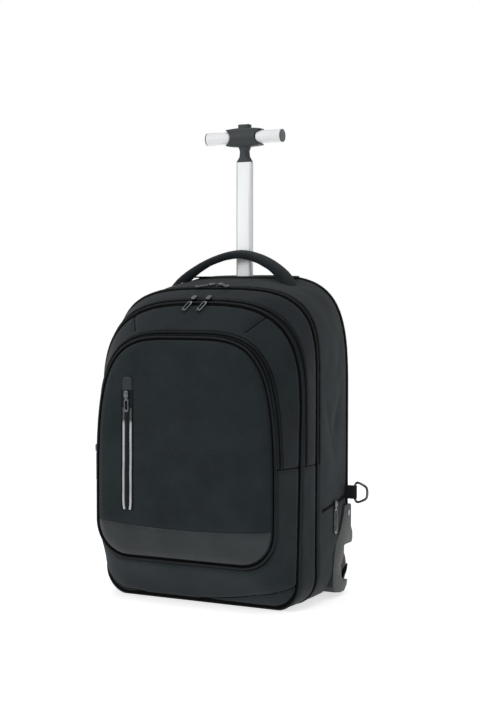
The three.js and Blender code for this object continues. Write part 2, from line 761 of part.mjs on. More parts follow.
function addZipPulls() {
  const { back, main, organizer, pocket } = seams;

  const zipHigh = frontZipLow + frontZipLength;
  const frontZ = zipHigh - sliderLength / 2 - gap;
  const face = pocketFace(frontZipX, frontZ) - 2 * gap - tapeThickness;
  const straightDown = new THREE.Vector3(0, 0, -1);
  const forward = new THREE.Vector3(0, -1, 0);
  addZipPull({ slider: 'front_slider', pull: 'front_pull' }, new THREE.Vector3(frontZipX, face, frontZ),
    straightDown, forward);

  // The organizer's pulls hang over the seam's piping and lie down the slope in front of it
  const onTop = (y, x) => new THREE.Vector3(x, y, skinTop(x, y));
  const lift = zipLift + tapeThickness + gap;
  const middleWall = topWall(main, organizer);
  const slope = topWall(organizer, pocket);
  for (const [side, way] of [['left', -1], ['right', 1]]) {
    const x = way * topPullSpacing / 2;
    const sliderY = organizer.y + zipBehind;
    const place = onTop(sliderY, x).addScaledVector(middleWall.up, onMiddle(sliderY) + lift);
    const slider = addMesh(`organizer_slider_${side}`, sliderGeometry(), 'blackMetal');
    stand(slider, place, middleWall.down, middleWall.up);
    const hang = slope.down.clone().add(new THREE.Vector3(-organizerPullLean, 0, 0)).normalize();
    const start = onTop(organizer.y, x).addScaledVector(slope.down, 4 * gap);
    start.addScaledVector(slope.up, pipingProud + 2 * gap);
    const pull = addMesh(`organizer_pull_${side}`, pullGeometry(pullLength, pullWidth), 'blackMetal');
    stand(pull, start, hang, slope.up);
  }
  const mainWall = topWall(back, main);
  for (const [side, way] of [['left', -1], ['right', 1]]) {
    const sliderY = main.y + zipBehind;
    const place = onTop(sliderY, way * mainPullSpacing / 2);
    place.addScaledVector(mainWall.up, onMain(sliderY) + lift - gap);
    const names = { slider: `main_slider_${side}`, pull: `main_pull_${side}` };
    const aside = new THREE.Vector3(way * mainPullLean, mainWall.down.y, mainWall.down.z);
    addZipPull(names, place, aside, mainWall.up);
  }

  const edgeY = pocket.y + pocketZipSpread;
  const reach = [0, 1, 2].map((step) => skinSide(edgeY, edgePullHeight - step * edgePullLength / 2));
  const edgeX = -Math.max(...reach) - zipLift - tapeThickness;
  const slant = new THREE.Vector3(pocket.y - organizer.y, pocket.halfWidth - organizer.halfWidth, 0);
  addZipPull({ slider: 'edge_slider', pull: 'edge_pull' }, new THREE.Vector3(edgeX, edgeY, edgePullHeight),
    straightDown, slant, edgePullLength, pullWidth * 0.8);

  // Side zip: a straight tape that climbs towards the back of the right-hand side
  const stations = 5;
  const tapeRows = [];
  for (let i = 0; i <= stations; i++) {
    const y = -sideZipBehind - sideZipLength * (1 - i / stations);
    const z = sideZipLow + sideZipRise * i / stations;
    const x = mainSide(y, z) + gap;
    tapeRows.push([[0, -1], [tapeThickness, -1], [tapeThickness, 1], [0, 1]].map(([out, up]) => (
      new THREE.Vector3(x + out, y, z + up * sideZipWidth / 2))));
  }
  addMesh('side_zip', loft(tapeRows), 'tape');
  const sliderY = -sideZipBehind - sideZipLength * (1 - sideSliderAt);
  const sliderZ = sideZipLow + sideZipRise * sideSliderAt;
  const seat = new THREE.Vector3(mainSide(sliderY, sliderZ) + gap + tapeThickness, sliderY, sliderZ);
  addZipPull({ slider: 'side_slider', pull: 'side_pull' }, seat, straightDown, new THREE.Vector3(1, 0, 0),
    sidePullLength, pullWidth * 1.2);
}

// Carry handle: a padded strap bent into a low arch, its feet resting on the top of the bag
function addCarryHandle() {
  const stations = 16;
  const sides = 10;
  const rows = [];
  const middle = bagHeight + carryAbove - carryThickness / 2;
  for (let i = 0; i <= stations; i++) {
    const angle = (i / stations) * Math.PI;
    const across = Math.sign(Math.cos(angle)) * Math.abs(Math.cos(angle)) ** (2 / carryRoundness);
    const up = Math.sin(angle) ** (2 / carryRoundness);
    const centre = new THREE.Vector3(
      across * (carrySpan / 2 - carryThickness / 2),
      -carryForward - carryLean * (1 - up),
      middle - carryRise * (1 - up),
    );
    rows.push(centre);
  }
  const sections = rows.map((centre, i) => {
    const before = rows[Math.max(0, i - 1)];
    const after = rows[Math.min(stations, i + 1)];
    const run = after.clone().sub(before).normalize();
    const out = new THREE.Vector3(run.z, 0, -run.x).normalize();
    const back = new THREE.Vector3(0, 1, 0);
    const [lean, level] = [Math.sin(carryTilt), Math.cos(carryTilt)];
    const wideAlong = back.clone().multiplyScalar(level).addScaledVector(out, lean);
    const thickAlong = out.clone().multiplyScalar(level).addScaledVector(back, -lean);
    const drop = (middle - centre.z) / carryRise;
    const halfThickness = carryThickness / 2 * (1 + (carryFootGrowth - 1) * drop ** 2);
    const section = [];
    for (let k = 0; k < sides; k++) {
      const angle = (k / sides) * Math.PI * 2;
      const wide = Math.sign(Math.cos(angle)) * Math.abs(Math.cos(angle)) ** carrySquareness * carryWidth / 2;
      const thick = Math.sign(Math.sin(angle)) * Math.abs(Math.sin(angle)) ** carrySquareness * halfThickness;
      section.push(centre.clone().addScaledVector(thickAlong, thick).addScaledVector(wideAlong, wide));
    }
    return section;
  });
  const inside = loft([skinLoop(0, -mainSwell - gap), skinLoop(-mainDepth, -mainSwell - gap)]);
  addMesh('carry_handle', cut(loft(sections), inside), 'fabric');
}

// Webbing tab and ring on each lower back edge
function addRings() {
  const y = -ringForward;
  const loopRadius = ringWire / 2 * 1.2 + gap;
  const inner = mainSide(y - loopRadius - tabThickness, ringMiddle) + gap;
  const barX = inner + tabReach;
  const lowZ = ringMiddle - ringHeight / 2;
  const highZ = ringMiddle + ringHeight / 2;
  const bend = ringWidth * 0.35;
  const corners = [
    [barX, lowZ + bend * 0.6], [barX, highZ - bend * 0.6], [barX + bend * 0.5, highZ],
    [barX + ringWidth - bend, highZ - bend * 0.5], [barX + ringWidth, ringMiddle],
    [barX + ringWidth - bend, lowZ + bend * 0.5], [barX + bend * 0.5, lowZ],
  ].map(([x, z]) => new THREE.Vector3(x, y, z));
  const wireSides = 6;
  const sections = corners.map((corner, i) => {
    const before = corners[(i + corners.length - 1) % corners.length];
    const after = corners[(i + 1) % corners.length];
    const inDirection = corner.clone().sub(before).normalize();
    const outDirection = after.clone().sub(corner).normalize();
    const run = inDirection.add(outDirection).normalize();
    const side = new THREE.Vector3(-run.z, 0, run.x);
    const mitre = 1 / Math.max(0.5, run.dot(outDirection));
    const section = [];
    for (let k = 0; k < wireSides; k++) {
      const angle = (k / wireSides) * Math.PI * 2;
      section.push(corner.clone()
        .addScaledVector(side, Math.cos(angle) * ringWire / 2 * mitre)
        .add(new THREE.Vector3(0, Math.sin(angle) * ringWire / 2, 0)));
    }
    return section;
  });
  addPair('d_ring', loft(sections, true), 'blackMetal');

  // The tab is folded round the ring's straight bar
  const outer = new THREE.Shape();
  outer.moveTo(inner, y - loopRadius - tabThickness);
  outer.lineTo(barX, y - loopRadius - tabThickness);
  outer.absarc(barX, y, loopRadius + tabThickness, -Math.PI / 2, Math.PI / 2, false);
  outer.lineTo(inner, y + loopRadius + tabThickness);
  outer.closePath();
  const eye = new THREE.Path();
  eye.absarc(barX, y, loopRadius, 0, Math.PI * 2);
  outer.holes.push(eye);
  const tabLow = ringMiddle - tabHeight / 2 + bend * 0.4;
  const tabHigh = ringMiddle + tabHeight / 2 - bend * 0.4;
  addPair('strap_tab', extrudeAlong('z', outer, tabLow, tabHigh, 5), 'webbing');
}

function latheAlongX(points, segments, y, z) {
  const lathe = new THREE.LatheGeometry(points.map(([radius, x]) => new THREE.Vector2(radius, x)), segments);
  return lathe.rotateZ(-Math.PI / 2).translate(0, y, z);
}

function addWheels() {
  const wellInner = housingInner + cheek;
  const wellOuter = housingOuter - outerCheek;
  const block = extrudeAlong('x', housingShape(housingOutline), housingInner, housingOuter);
  const wellRadius = wheelRadius + wheelClearance;
  const well = cylinderAlongX(wellRadius, wellInner, wellOuter, wheelY, wheelZ, 32);
  const behind = boxBetween(
    [wellInner, wheelY, -bagHeight],
    [wellOuter, wheelY + bagWidth, wheelZ + wellRadius * 0.86],
  );
  const window = extrudeAlong('x', housingShape(outerOpening), wellOuter - gap, housingOuter + gap);
  const bore = cylinderAlongX(axleRadius + gap, housingInner - gap, wellInner + gap, wheelY, wheelZ, 12);
  addPair('wheel_housing', cut(block, well, behind, window, bore), 'housing');

  const wheelOuter = wheelInner + wheelWidth;
  const tyreInner = hubRadius + gap;
  const shoulder = wheelWidth * 0.18;
  addPair('tyre', latheAlongX([
    [tyreInner, wheelInner], [wheelRadius - shoulder, wheelInner],
    [wheelRadius - shoulder * 0.3, wheelInner + shoulder * 0.5], [wheelRadius, wheelInner + shoulder * 1.4],
    [wheelRadius, wheelOuter - shoulder * 1.4], [wheelRadius - shoulder * 0.3, wheelOuter - shoulder * 0.5],
    [wheelRadius - shoulder, wheelOuter], [tyreInner, wheelOuter], [tyreInner, wheelInner],
  ], 24, wheelY, wheelZ), 'rubber');

  const bossRadius = axleRadius * 2;
  const dish = wheelWidth * 0.15;
  const boreRadius = axleRadius + gap;
  addPair('wheel_hub', latheAlongX([
    [boreRadius, wheelInner], [bossRadius, wheelInner], [bossRadius, wheelInner + dish],
    [hubRadius * 0.85, wheelInner + dish], [hubRadius * 0.85, wheelInner], [hubRadius, wheelInner],
    [hubRadius, wheelOuter], [hubRadius * 0.85, wheelOuter], [hubRadius * 0.85, wheelOuter - dish],
    [bossRadius, wheelOuter - dish], [bossRadius, wheelOuter], [boreRadius, wheelOuter],
    [boreRadius, wheelInner],
  ], 12, wheelY, wheelZ), 'wheelPlastic');

  addPair('axle', latheAlongX([
    [0, housingInner], [axleRadius, housingInner], [axleRadius, wheelOuter + gap],
    [axleHeadRadius, wheelOuter + gap], [axleHeadRadius, wheelOuter + gap + axleHeadThickness * 0.6],
    [axleHeadRadius * 0.7, wheelOuter + gap + axleHeadThickness], [0, wheelOuter + gap + axleHeadThickness],
  ], 10, wheelY, wheelZ), 'steel');
}

// Flat oval with round ends, as wide as X and as deep as Y
function oval(width, depth, shape = new THREE.Shape()) {
  return roundedRectangle(width, depth, depth / 2 * 0.98, shape);
}

function ovalTube(width, depth, wall, from, to) {
  const shape = oval(width, depth);
  shape.holes.push(oval(width - 2 * wall, depth - 2 * wall, new THREE.Path()));
  return extrudeAlong('z', shape, from, to, 3).translate(0, trolleyY, 0);
}

function ovalLoop(width, depth, z) {
  const shape = oval(width, depth);
  return shape.getPoints(3).slice(0, -1).map((point) => new THREE.Vector3(point.x, trolleyY + point.y, z));
}

function addTrolleyGuide() {
  const sleeveInnerWidth = tubeWidth + 2 * slideClearance;
  const sleeveInnerDepth = tubeDepth + 2 * slideClearance;
  const body = join(trayBlock(0), flangeBlock(0));
  const recess = boxBetween(
    [-trayLength / 2, trolleyY - trayDepth / 2, trayFloor],
    [trayLength / 2, trolleyY + trayDepth / 2, flangeTop + trayRecess],
  );
  const mouthShape = oval(sleeveInnerWidth, sleeveInnerDepth);
  const mouth = extrudeAlong('z', mouthShape, trayFloor - trayRecess, flangeTop, 4).translate(0, trolleyY, 0);
  addMesh('trolley_tray', cut(body, recess, mouth), 'hubPlastic');
  addMesh('trolley_sleeve', ovalTube(
    sleeveInnerWidth + 2 * sleeveWall, sleeveInnerDepth + 2 * sleeveWall, sleeveWall,
    cloth + gap, trayFloor - trayWall - gap,
  ), 'aluminium');
}

function addTHandle() {
  const tube = ovalTube(tubeWidth, tubeDepth, tubeWall, tubeTop - tubeLength, tubeTop);
  addMesh('trolley_tube', tube, 'aluminium');

  const hubBottom = tubeTop + neckHeight;
  const hubMiddle = hubBottom + hubHeight / 2;
  const hubTop = hubBottom + hubHeight;
  const half = hubLength / 2;
  const tip = hubHeight * 0.42;
  const shape = new THREE.Shape();
  shape.moveTo(-half, hubMiddle - tip);
  shape.quadraticCurveTo(0, hubBottom - hubHeight * 0.08, half, hubMiddle - tip);
  shape.quadraticCurveTo(half - (hubLength - hubWaist) * 0.9, hubMiddle, half, hubMiddle + tip);
  shape.quadraticCurveTo(0, hubTop + hubHeight * 0.08, -half, hubMiddle + tip);
  shape.quadraticCurveTo(-half + (hubLength - hubWaist) * 0.9, hubMiddle, -half, hubMiddle - tip);
  const slab = extrudeAlong('y', shape, trolleyY - hubDepth / 2, trolleyY + hubDepth / 2, 7);
  const barrel = new THREE.CylinderGeometry(hubDepth / 2, hubDepth / 2, hubLength + hubHeight, 20)
    .rotateZ(Math.PI / 2).scale(1, 1, hubBarrel).translate(0, trolleyY, hubMiddle);
  const middle = keep(slab, barrel);

  // Width and depth as shares of the tube's, height as a share of the neck's
  const neckTable = [
    { up: 0, width: 1, depth: 1 }, { up: 0.12, width: 0.86, depth: 0.98 },
    { up: 0.35, width: 0.62, depth: 0.95 }, { up: 0.7, width: 0.56, depth: 0.95 },
    { up: 0.92, width: 0.7, depth: 0.98 }, { up: 1.2, width: 0.95, depth: 1.1 },
  ];
  const neck = loft(neckTable.map((row) => ovalLoop(
    tubeWidth * row.width, tubeDepth * row.depth, tubeTop + gap + neckHeight * row.up)));
  const plugWidth = tubeWidth - 2 * tubeWall - 2 * gap;
  const plugDepth = tubeDepth - 2 * tubeWall - 2 * gap;
  const plug = loft([
    ovalLoop(plugWidth, plugDepth, tubeTop - plugLength),
    ovalLoop(plugWidth, plugDepth, tubeTop + neckHeight * 0.1),
  ]);

  const buttonTop = hubTop + buttonProud;
  const well = boxBetween(
    [-buttonLength / 2 - gap, trolleyY - buttonDepth / 2 - gap, hubTop - buttonSunk - buttonPress - gap],
    [buttonLength / 2 + gap, trolleyY + buttonDepth / 2 + gap, hubTop + buttonProud],
  );
  const boreFrom = half - (hubLength - hubWaist) * 0.45;
  const bores = [-1, 1].map((side) => {
    const [from, to] = side > 0 ? [boreFrom, hubLength] : [-hubLength, -boreFrom];
    return cylinderAlongX(gripRadius + 2 * gap, from, to, trolleyY, hubMiddle, 16);
  });
  addMesh('handle_hub', cut(join(middle, neck, plug), well, ...bores), 'hubPlastic');

  const round = gripRadius * 0.3;
  const gripFrom = boreFrom + gap;
  addPair('grip', latheAlongX([
    [0, gripFrom], [gripRadius - round, gripFrom], [gripRadius, gripFrom + round],
    [gripRadius, gripEnd], [0, gripEnd],
  ], 16, trolleyY, hubMiddle), 'gripPlastic');
  const capFrom = gripEnd + gap;
  addPair('end_cap', latheAlongX([
    [0, capFrom], [capRadius, capFrom], [capRadius, capFrom + capThickness * 0.6],
    [capRadius * 0.85, capFrom + capThickness], [0, capFrom + capThickness],
  ], 16, trolleyY, hubMiddle), 'capPlastic');

  const buttonShape = roundedRectangle(buttonLength, buttonDepth, buttonDepth * 0.25);
  const button = extrudeAlong('z', buttonShape, hubTop - buttonSunk, buttonTop, 3).translate(0, trolleyY, 0);
  addMesh('push_button', button, 'hubPlastic');
}

addPanels();
addPocket();
addRingZips();
addZipPulls();
addCarryHandle();
addRings();
addWheels();
addTrolleyGuide();
addTHandle();

// The origin is the middle of the footprint, on the floor
const bounds = new THREE.Box3().setFromObject(bag);
bag.position.y = -(bounds.min.y + bounds.max.y) / 2;

export default bag;
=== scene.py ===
import math

import bpy
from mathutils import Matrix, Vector, noise
from mathutils.bvhtree import BVHTree


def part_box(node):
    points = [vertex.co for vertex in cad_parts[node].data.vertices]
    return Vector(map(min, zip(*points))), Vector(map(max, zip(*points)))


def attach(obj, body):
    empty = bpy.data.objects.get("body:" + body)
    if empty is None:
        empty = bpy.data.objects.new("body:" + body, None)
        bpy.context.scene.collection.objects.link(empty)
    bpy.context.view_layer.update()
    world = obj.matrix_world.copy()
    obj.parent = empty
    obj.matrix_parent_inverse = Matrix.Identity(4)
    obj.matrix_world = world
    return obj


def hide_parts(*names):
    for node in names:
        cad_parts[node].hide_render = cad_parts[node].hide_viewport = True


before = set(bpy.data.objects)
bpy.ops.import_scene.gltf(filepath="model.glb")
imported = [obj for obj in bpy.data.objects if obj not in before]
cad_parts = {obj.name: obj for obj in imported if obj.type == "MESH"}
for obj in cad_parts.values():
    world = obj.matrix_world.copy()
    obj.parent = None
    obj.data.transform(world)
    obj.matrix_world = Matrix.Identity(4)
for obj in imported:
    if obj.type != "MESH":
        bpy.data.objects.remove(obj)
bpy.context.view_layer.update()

print("frame loaded")
mm = 0.001
sides = {"left": -1, "right": 1}


# Small helpers
def clearSelection():
    if bpy.context.object and bpy.context.object.mode != "OBJECT":
        bpy.ops.object.mode_set(mode="OBJECT")
    bpy.ops.object.select_all(action="DESELECT")


def pick(piece):
    clearSelection()
    piece.select_set(True)
    bpy.context.view_layer.objects.active = piece


def added(name):
    piece = bpy.context.object
    piece.name = name
    piece.data.name = name
    return piece


def settle(piece):
    pick(piece)
    bpy.ops.object.transform_apply(location=True, rotation=True, scale=True)
    return piece


def finishWith(piece, kind, **settings):
    pick(piece)
    modifier = piece.modifiers.new(kind.lower(), kind)
    for key, value in settings.items():
        setattr(modifier, key, value)
    bpy.ops.object.modifier_apply(modifier=modifier.name)
    return piece


def selectAll():
    bpy.ops.mesh.select_all(action="SELECT")


def edit(piece, *steps):
    pick(piece)
    bpy.ops.object.mode_set(mode="EDIT")
    bpy.ops.mesh.select_mode(type="VERT")
    selectAll()
    for step in steps:
        step()
    bpy.ops.object.mode_set(mode="OBJECT")
    return piece


def weld(distance=0.00001):
    return lambda: bpy.ops.mesh.remove_doubles(threshold=distance)


def outward():
    bpy.ops.mesh.normals_make_consistent(inside=False)


def closeEnds(piece):
    return edit(piece, lambda: bpy.ops.mesh.fill_holes(sides=0), selectAll, outward)


def smooth(piece, angle=None):
    pick(piece)
    if angle is None:
        bpy.ops.object.shade_smooth()
    else:
        bpy.ops.object.shade_smooth_by_angle(angle=math.radians(angle))
    return piece


def carve(piece, cutter, operation="DIFFERENCE"):
    finishWith(piece, "BOOLEAN", object=cutter, operation=operation, solver="EXACT")
    bpy.data.objects.remove(cutter)
    return piece


def noiseAt(point, size, seed=0):
    return noise.noise(Vector(point) / size + Vector((seed * 17.3, seed * 5.1, seed * 9.7)))


# Materials
def colourOf(code):
    parts = [int(code[i:i + 2], 16) / 255 for i in (1, 3, 5)]
    linear = [p / 12.92 if p <= 0.04045 else ((p + 0.055) / 1.055) ** 2.4 for p in parts]
    return (*linear, 1)


def addNode(tree, kind, settings=None, links=None):
    node = tree.nodes.new(kind)
    for key, value in (settings or {}).items():
        if key == "stops":
            for element, (place, code) in zip(node.color_ramp.elements, value):
                element.position = place
                element.color = colourOf(code)
        elif isinstance(key, int) or key in node.inputs:
            node.inputs[key].default_value = value
        else:
            setattr(node, key, value)
    for key, source in (links or {}).items():
        tree.links.new(source, node.inputs[key])
    return node


def startMaterial(name, **surface):
    material = bpy.data.materials.new(name)
    material.use_nodes = True
    tree = material.node_tree
    shader = tree.nodes["Principled BSDF"]
    for key, value in surface.items():
        shader.inputs[key.replace("_", " ")].default_value = value
    where = addNode(tree, "ShaderNodeTexCoord").outputs["Object"]
    return material, tree, shader, where


def applyPatterns(tree, shader, colour, rough, relief=None):
    # Each part starts with its pattern: then two colour stops, roughness limits, or bump strength and depth
    pattern, stops = colour
    blend = addNode(tree, "ShaderNodeValToRGB", {"stops": stops}, {"Fac": pattern})
    tree.links.new(blend.outputs["Color"], shader.inputs["Base Color"])
    pattern, low, high = rough
    spread = addNode(tree, "ShaderNodeMapRange", {"To Min": low, "To Max": high}, {"Value": pattern})
    tree.links.new(spread.outputs["Result"], shader.inputs["Roughness"])
    if relief:
        pattern, strength, depth = relief
        bump = addNode(tree, "ShaderNodeBump", {"Strength": strength, "Distance": depth},
                       {"Height": pattern})
        tree.links.new(bump.outputs["Normal"], shader.inputs["Normal"])


fabricLook = {"dark": "#151c1f", "light": "#20272b", "thread": 1.1 * mm, "patch": 60 * mm}


def wovenCloth(name, dark, light, thread, patch, roughness=0.86, depth=0.25 * mm, sheen=0.08, shine=0.18):
    # Plain-woven polyester: matt, with the faint glitter of its threads, which are drawn coarser than life
    material, tree, shader, where = startMaterial(name, Roughness=roughness, IOR=1.45)
    shader.inputs["Specular IOR Level"].default_value = shine
    shader.inputs["Sheen Weight"].default_value = sheen
    shader.inputs["Sheen Roughness"].default_value = 0.5
    # The wave node draws a band for every 2 pi / 20 of its unit, and a band is two threads wide
    bands = {"wave_type": "BANDS", "Scale": math.pi / (20 * thread), "Distortion": 0.6, "Detail": 1.0}
    warp, weft = (addNode(tree, "ShaderNodeTexWave", bands | {"bands_direction": way}, {"Vector": where})
                  for way in ("Z", "DIAGONAL"))
    weave = addNode(tree, "ShaderNodeMath", {"operation": "MULTIPLY"},
                    {0: warp.outputs["Fac"], 1: weft.outputs["Fac"]})
    patches = addNode(tree, "ShaderNodeTexNoise", {"Scale": 1 / patch, "Detail": 4, "Roughness": 0.55},
                      {"Vector": where}).outputs["Fac"]
    specks = addNode(tree, "ShaderNodeTexNoise", {"Scale": 1 / (thread * 2), "Detail": 2,
                                                  "Roughness": 0.55},
                     {"Vector": where}).outputs["Fac"]
    mix = addNode(tree, "ShaderNodeMath", {"operation": "MULTIPLY_ADD", 1: 0.35}, {0: specks, 2: patches})
    applyPatterns(tree, shader, (mix.outputs[0], [(0.45, dark), (0.85, light)]),
                  (patches, roughness - 0.06, roughness + 0.06), (weave.outputs[0], 0.5, depth))
    return material


def coatedSkin(name, dark, light, grain, roughness, depth, coat=0.0, shine=0.5):
    # PU-coated cloth: a fine pebbled grain under a soft satin film
    material, tree, shader, where = startMaterial(name, Roughness=roughness, IOR=1.5)
    shader.inputs["Specular IOR Level"].default_value = shine
    shader.inputs["Coat Weight"].default_value = coat
    shader.inputs["Coat Roughness"].default_value = 0.35
    pebbles = addNode(tree, "ShaderNodeTexVoronoi", {"Scale": 1 / grain, "feature": "F1"},
                      {"Vector": where})
    clouds = addNode(tree, "ShaderNodeTexNoise", {"Scale": 1 / (45 * mm), "Detail": 3, "Roughness": 0.55},
                     {"Vector": where}).outputs["Fac"]
    applyPatterns(tree, shader, (clouds, [(0.35, dark), (0.7, light)]),
                  (clouds, roughness - 0.05, roughness + 0.07),
                  (pebbles.outputs["Distance"], 0.35, depth))
    return material


def mouldedPlastic(name, dark, light, grit, roughness, depth=0.05 * mm, shine=0.5):
    # Injection-moulded plastic with the mould's spark-eroded texture: even colour, broken highlight
    material, tree, shader, where = startMaterial(name, Roughness=roughness, IOR=1.5)
    shader.inputs["Specular IOR Level"].default_value = shine
    clouds, grains = (addNode(tree, "ShaderNodeTexNoise", {"Scale": 1 / size, "Detail": 2, "Roughness": 0.55},
                              {"Vector": where}).outputs["Fac"] for size in (30 * mm, grit))
    applyPatterns(tree, shader, (clouds, [(0.35, dark), (0.7, light)]),
                  (grains, roughness - 0.06, roughness + 0.08),
                  (grains, 0.3, depth))
    return material


def metalSkin(name, dark, light, roughness, scratch, stretch):
    # Fine lines along the drawing or turning direction
    material, tree, shader, where = startMaterial(name, Roughness=roughness, Metallic=1.0)
    lines = addNode(tree, "ShaderNodeMapping", {"Scale": stretch}, {"Vector": where}).outputs["Vector"]
    streaks = addNode(tree, "ShaderNodeTexNoise", {"Scale": 1 / scratch, "Detail": 3, "Roughness": 0.55},
                      {"Vector": lines}).outputs["Fac"]
    applyPatterns(tree, shader, (streaks, [(0.3, dark), (0.7, light)]),
                  (streaks, roughness - 0.05, roughness + 0.1))
    return material


bagFabric = wovenCloth("wovenPolyester", **fabricLook)
meshFabric = wovenCloth("knittedSpacerMesh", dark="#1f2122", light="#2c2f31", thread=2.6 * mm,
                        patch=50 * mm,
                        roughness=0.92, depth=0.9 * mm)
tapeFabric = wovenCloth("wovenZipTape", dark="#080b0c", light="#0e1213", thread=0.9 * mm, patch=30 * mm,
                        sheen=0.01,
                        shine=0.06)
zipFlap = wovenCloth("wovenZipFlap", dark="#15191c", light="#1d2225", thread=0.9 * mm, patch=30 * mm,
                     sheen=0.05)
webbingFabric = wovenCloth("wovenNylonWebbing", dark="#121415", light="#1b1d1e", thread=1.4 * mm,
                           patch=20 * mm,
                           roughness=0.75)
leatherLook = coatedSkin("coatedPuBand", "#181e21", "#21282b", 0.9 * mm, 0.38, 0.12 * mm, coat=0.05,
                         shine=0.3)
pipingSkin = coatedSkin("coatedPipingCord", "#0c1012", "#14191b", 0.7 * mm, 0.5, 0.05 * mm, shine=0.15)
# Near black: the seams' own thread colour, and on the piping's welt a painted shade for the grooves
threadAndGrooveShade = coatedSkin("blackThreadAndGrooveShade", "#020303", "#040505", 0.5 * mm, 0.8, 0.04 * mm, shine=0.08)
coilNylon = mouldedPlastic("nylonZipCoil", "#090c0d", "#101415", 0.6 * mm, 0.45, shine=0.12)
reflectiveFilm = coatedSkin("glassBeadReflectiveFilm", "#9b9ea1", "#b9bcbf", 0.5 * mm, 0.35, 0.03 * mm,
                            coat=0.3)
housingPlastic = mouldedPlastic("mouldedPolypropylene", "#232929", "#2d3333", 0.8 * mm, 0.42, shine=0.3)
hubPlastic = mouldedPlastic("mouldedNylon", "#232a2d", "#2b3235", 0.8 * mm, 0.42, shine=0.4)
gripPlastic = mouldedPlastic("silverPaintedAbs", "#e6e8e9", "#eff0f1", 0.5 * mm, 0.3)
capPlastic = mouldedPlastic("mouldedAbsCap", "#4d5254", "#585d5f", 0.6 * mm, 0.4)
tyreRubber = mouldedPlastic("mouldedRubber", "#0f1011", "#17191a", 1.2 * mm, 0.7, 0.12 * mm)
wheelPlastic = mouldedPlastic("mouldedWheelNylon", "#242728", "#2c3031", 0.8 * mm, 0.5)
blackNickel = metalSkin("blackNickelPlate", "#3a3e41", "#74797c", 0.2, 1.5 * mm, (1, 1, 1))
tubeAluminium = metalSkin("anodisedAluminium", "#cfd2d3", "#dcdfdf", 0.5, 2.0 * mm, (1, 1, 0.04))
turnedSteel = metalSkin("turnedSteel", "#8c8f91", "#a9abac", 0.3, 0.8 * mm, (1, 1, 1))


def shadeAbovePull(material, low, high, code):
    # Painted shade: the strips keep their bright colour below the pull, and above it they are darkened to a
    # dull grey that stands in for the shade of the slider and pull
    tree = material.node_tree
    shader = tree.nodes["Principled BSDF"]
    bright = shader.inputs["Base Color"].links[0].from_socket
    where = addNode(tree, "ShaderNodeTexCoord").outputs["Object"]
    height = addNode(tree, "ShaderNodeSeparateXYZ", links={0: where}).outputs["Z"]
    share = addNode(tree, "ShaderNodeMapRange", {"From Min": low, "From Max": high}, {"Value": height})
    # Sockets 6 and 7 of the mix node are its two colours
    mix = addNode(tree, "ShaderNodeMix", {"data_type": "RGBA", 7: colourOf(code)},
                  {0: share.outputs["Result"], 6: bright})
    tree.links.new(mix.outputs[2], shader.inputs["Base Color"])


# Painted shade on the strips above the pull
shadeAbovePull(reflectiveFilm, 270 * mm, 276 * mm, "#2b2f31")
print("materials made")


def finished(piece, material, body, slot, *nodes):
    if material:
        piece.data.materials.append(material)
    if nodes:
        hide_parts(*nodes)
    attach(piece, body)
    return piece


# Seams of the bag, with the same sizes as the source
bagSizes = {"width": 340, "height": 492, "depths": (120, 47, 51), "pocketWidth": 299, "pocketHeight": 333,
            "pocketLift": 67, "taperHeight": 300, "cloth": 2.4, "mainSwell": 1.5, "middleSwell": 0.8}
seamTable = {
    "back": {"behind": 0, "width": 1, "top": 1, "shoulder": 0.428, "roundness": 4.0, "corner": 0.265,
             "taper": 0},
    "main": {"behind": 1, "width": 1.012, "top": 0.961, "shoulder": 0.296, "roundness": 3.5,
             "corner": 0.265,
             "taper": 0},
    "organizer": {"behind": 2, "width": 0.994, "top": 0.916, "shoulder": 0.348, "roundness": 3.0,
                  "corner": 0.235, "taper": 0.036},
    "pocket": {"behind": 3, "width": 0, "top": 0, "shoulder": 0.82, "roundness": 4.0, "corner": 0.367,
               "taper": 0},
}
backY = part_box("main_gusset")[1].y / mm + 2.5


def seamOutline(row):
    onPocket = row["width"] == 0
    half = bagSizes["pocketWidth"] / 2 if onPocket else bagSizes["width"] * row["width"] / 2
    bottom = bagSizes["pocketLift"] if onPocket else 0
    height = bagSizes["pocketHeight"] if onPocket else bagSizes["height"] * row["top"]
    corner = half * row["corner"]
    shoulder = height * row["shoulder"]
    points = [(0.0, bottom)]
    for i in range(25):
        angle = (i / 24 - 1) * math.pi / 2
        points.append((half - corner * (1 - math.cos(angle)), bottom + corner * (1 + math.sin(angle))))
    for i in range(121):
        angle = (i / 120) * math.pi / 2
        points.append((half * max(0, math.cos(angle)) ** (2 / row["roundness"]),
                       bottom + height - shoulder * (1 - math.sin(angle) ** (2 / row["roundness"]))))
    narrow = [(x * (1 - row["taper"] * max(0, 1 - z / bagSizes["taperHeight"])), z) for x, z in points]
    lengths = [0.0]
    for (x0, z0), (x1, z1) in zip(narrow, narrow[1:]):
        lengths.append(lengths[-1] + math.hypot(x1 - x0, z1 - z0))
    return narrow, lengths


seams = {}
for seamName, seamRow in seamTable.items():
    outline, lengths = seamOutline(seamRow)
    seams[seamName] = {"y": backY - sum(bagSizes["depths"][:seamRow["behind"]]), "outline": outline,
                       "lengths": lengths, "half": lengths[-1]}


def seamPoint(seam, u):
    # u is 0 at the middle of the bottom, 0.25 on the right, 0.5 at the top and 0.75 on the left
    u = u % 1
    side = 1 if u <= 0.5 else -1
    want = (u if u <= 0.5 else 1 - u) * 2 * seam["half"]
    lengths = seam["lengths"]
    low, high = 0, len(lengths) - 1
    while high - low > 1:
        middle = (low + high) // 2
        if lengths[middle] <= want:
            low = middle
        else:
            high = middle
    share = (want - lengths[low]) / max(1e-9, lengths[high] - lengths[low])
    (x0, z0), (x1, z1) = seam["outline"][low], seam["outline"][high]
    return side * (x0 + (x1 - x0) * share), z0 + (z1 - z0) * share


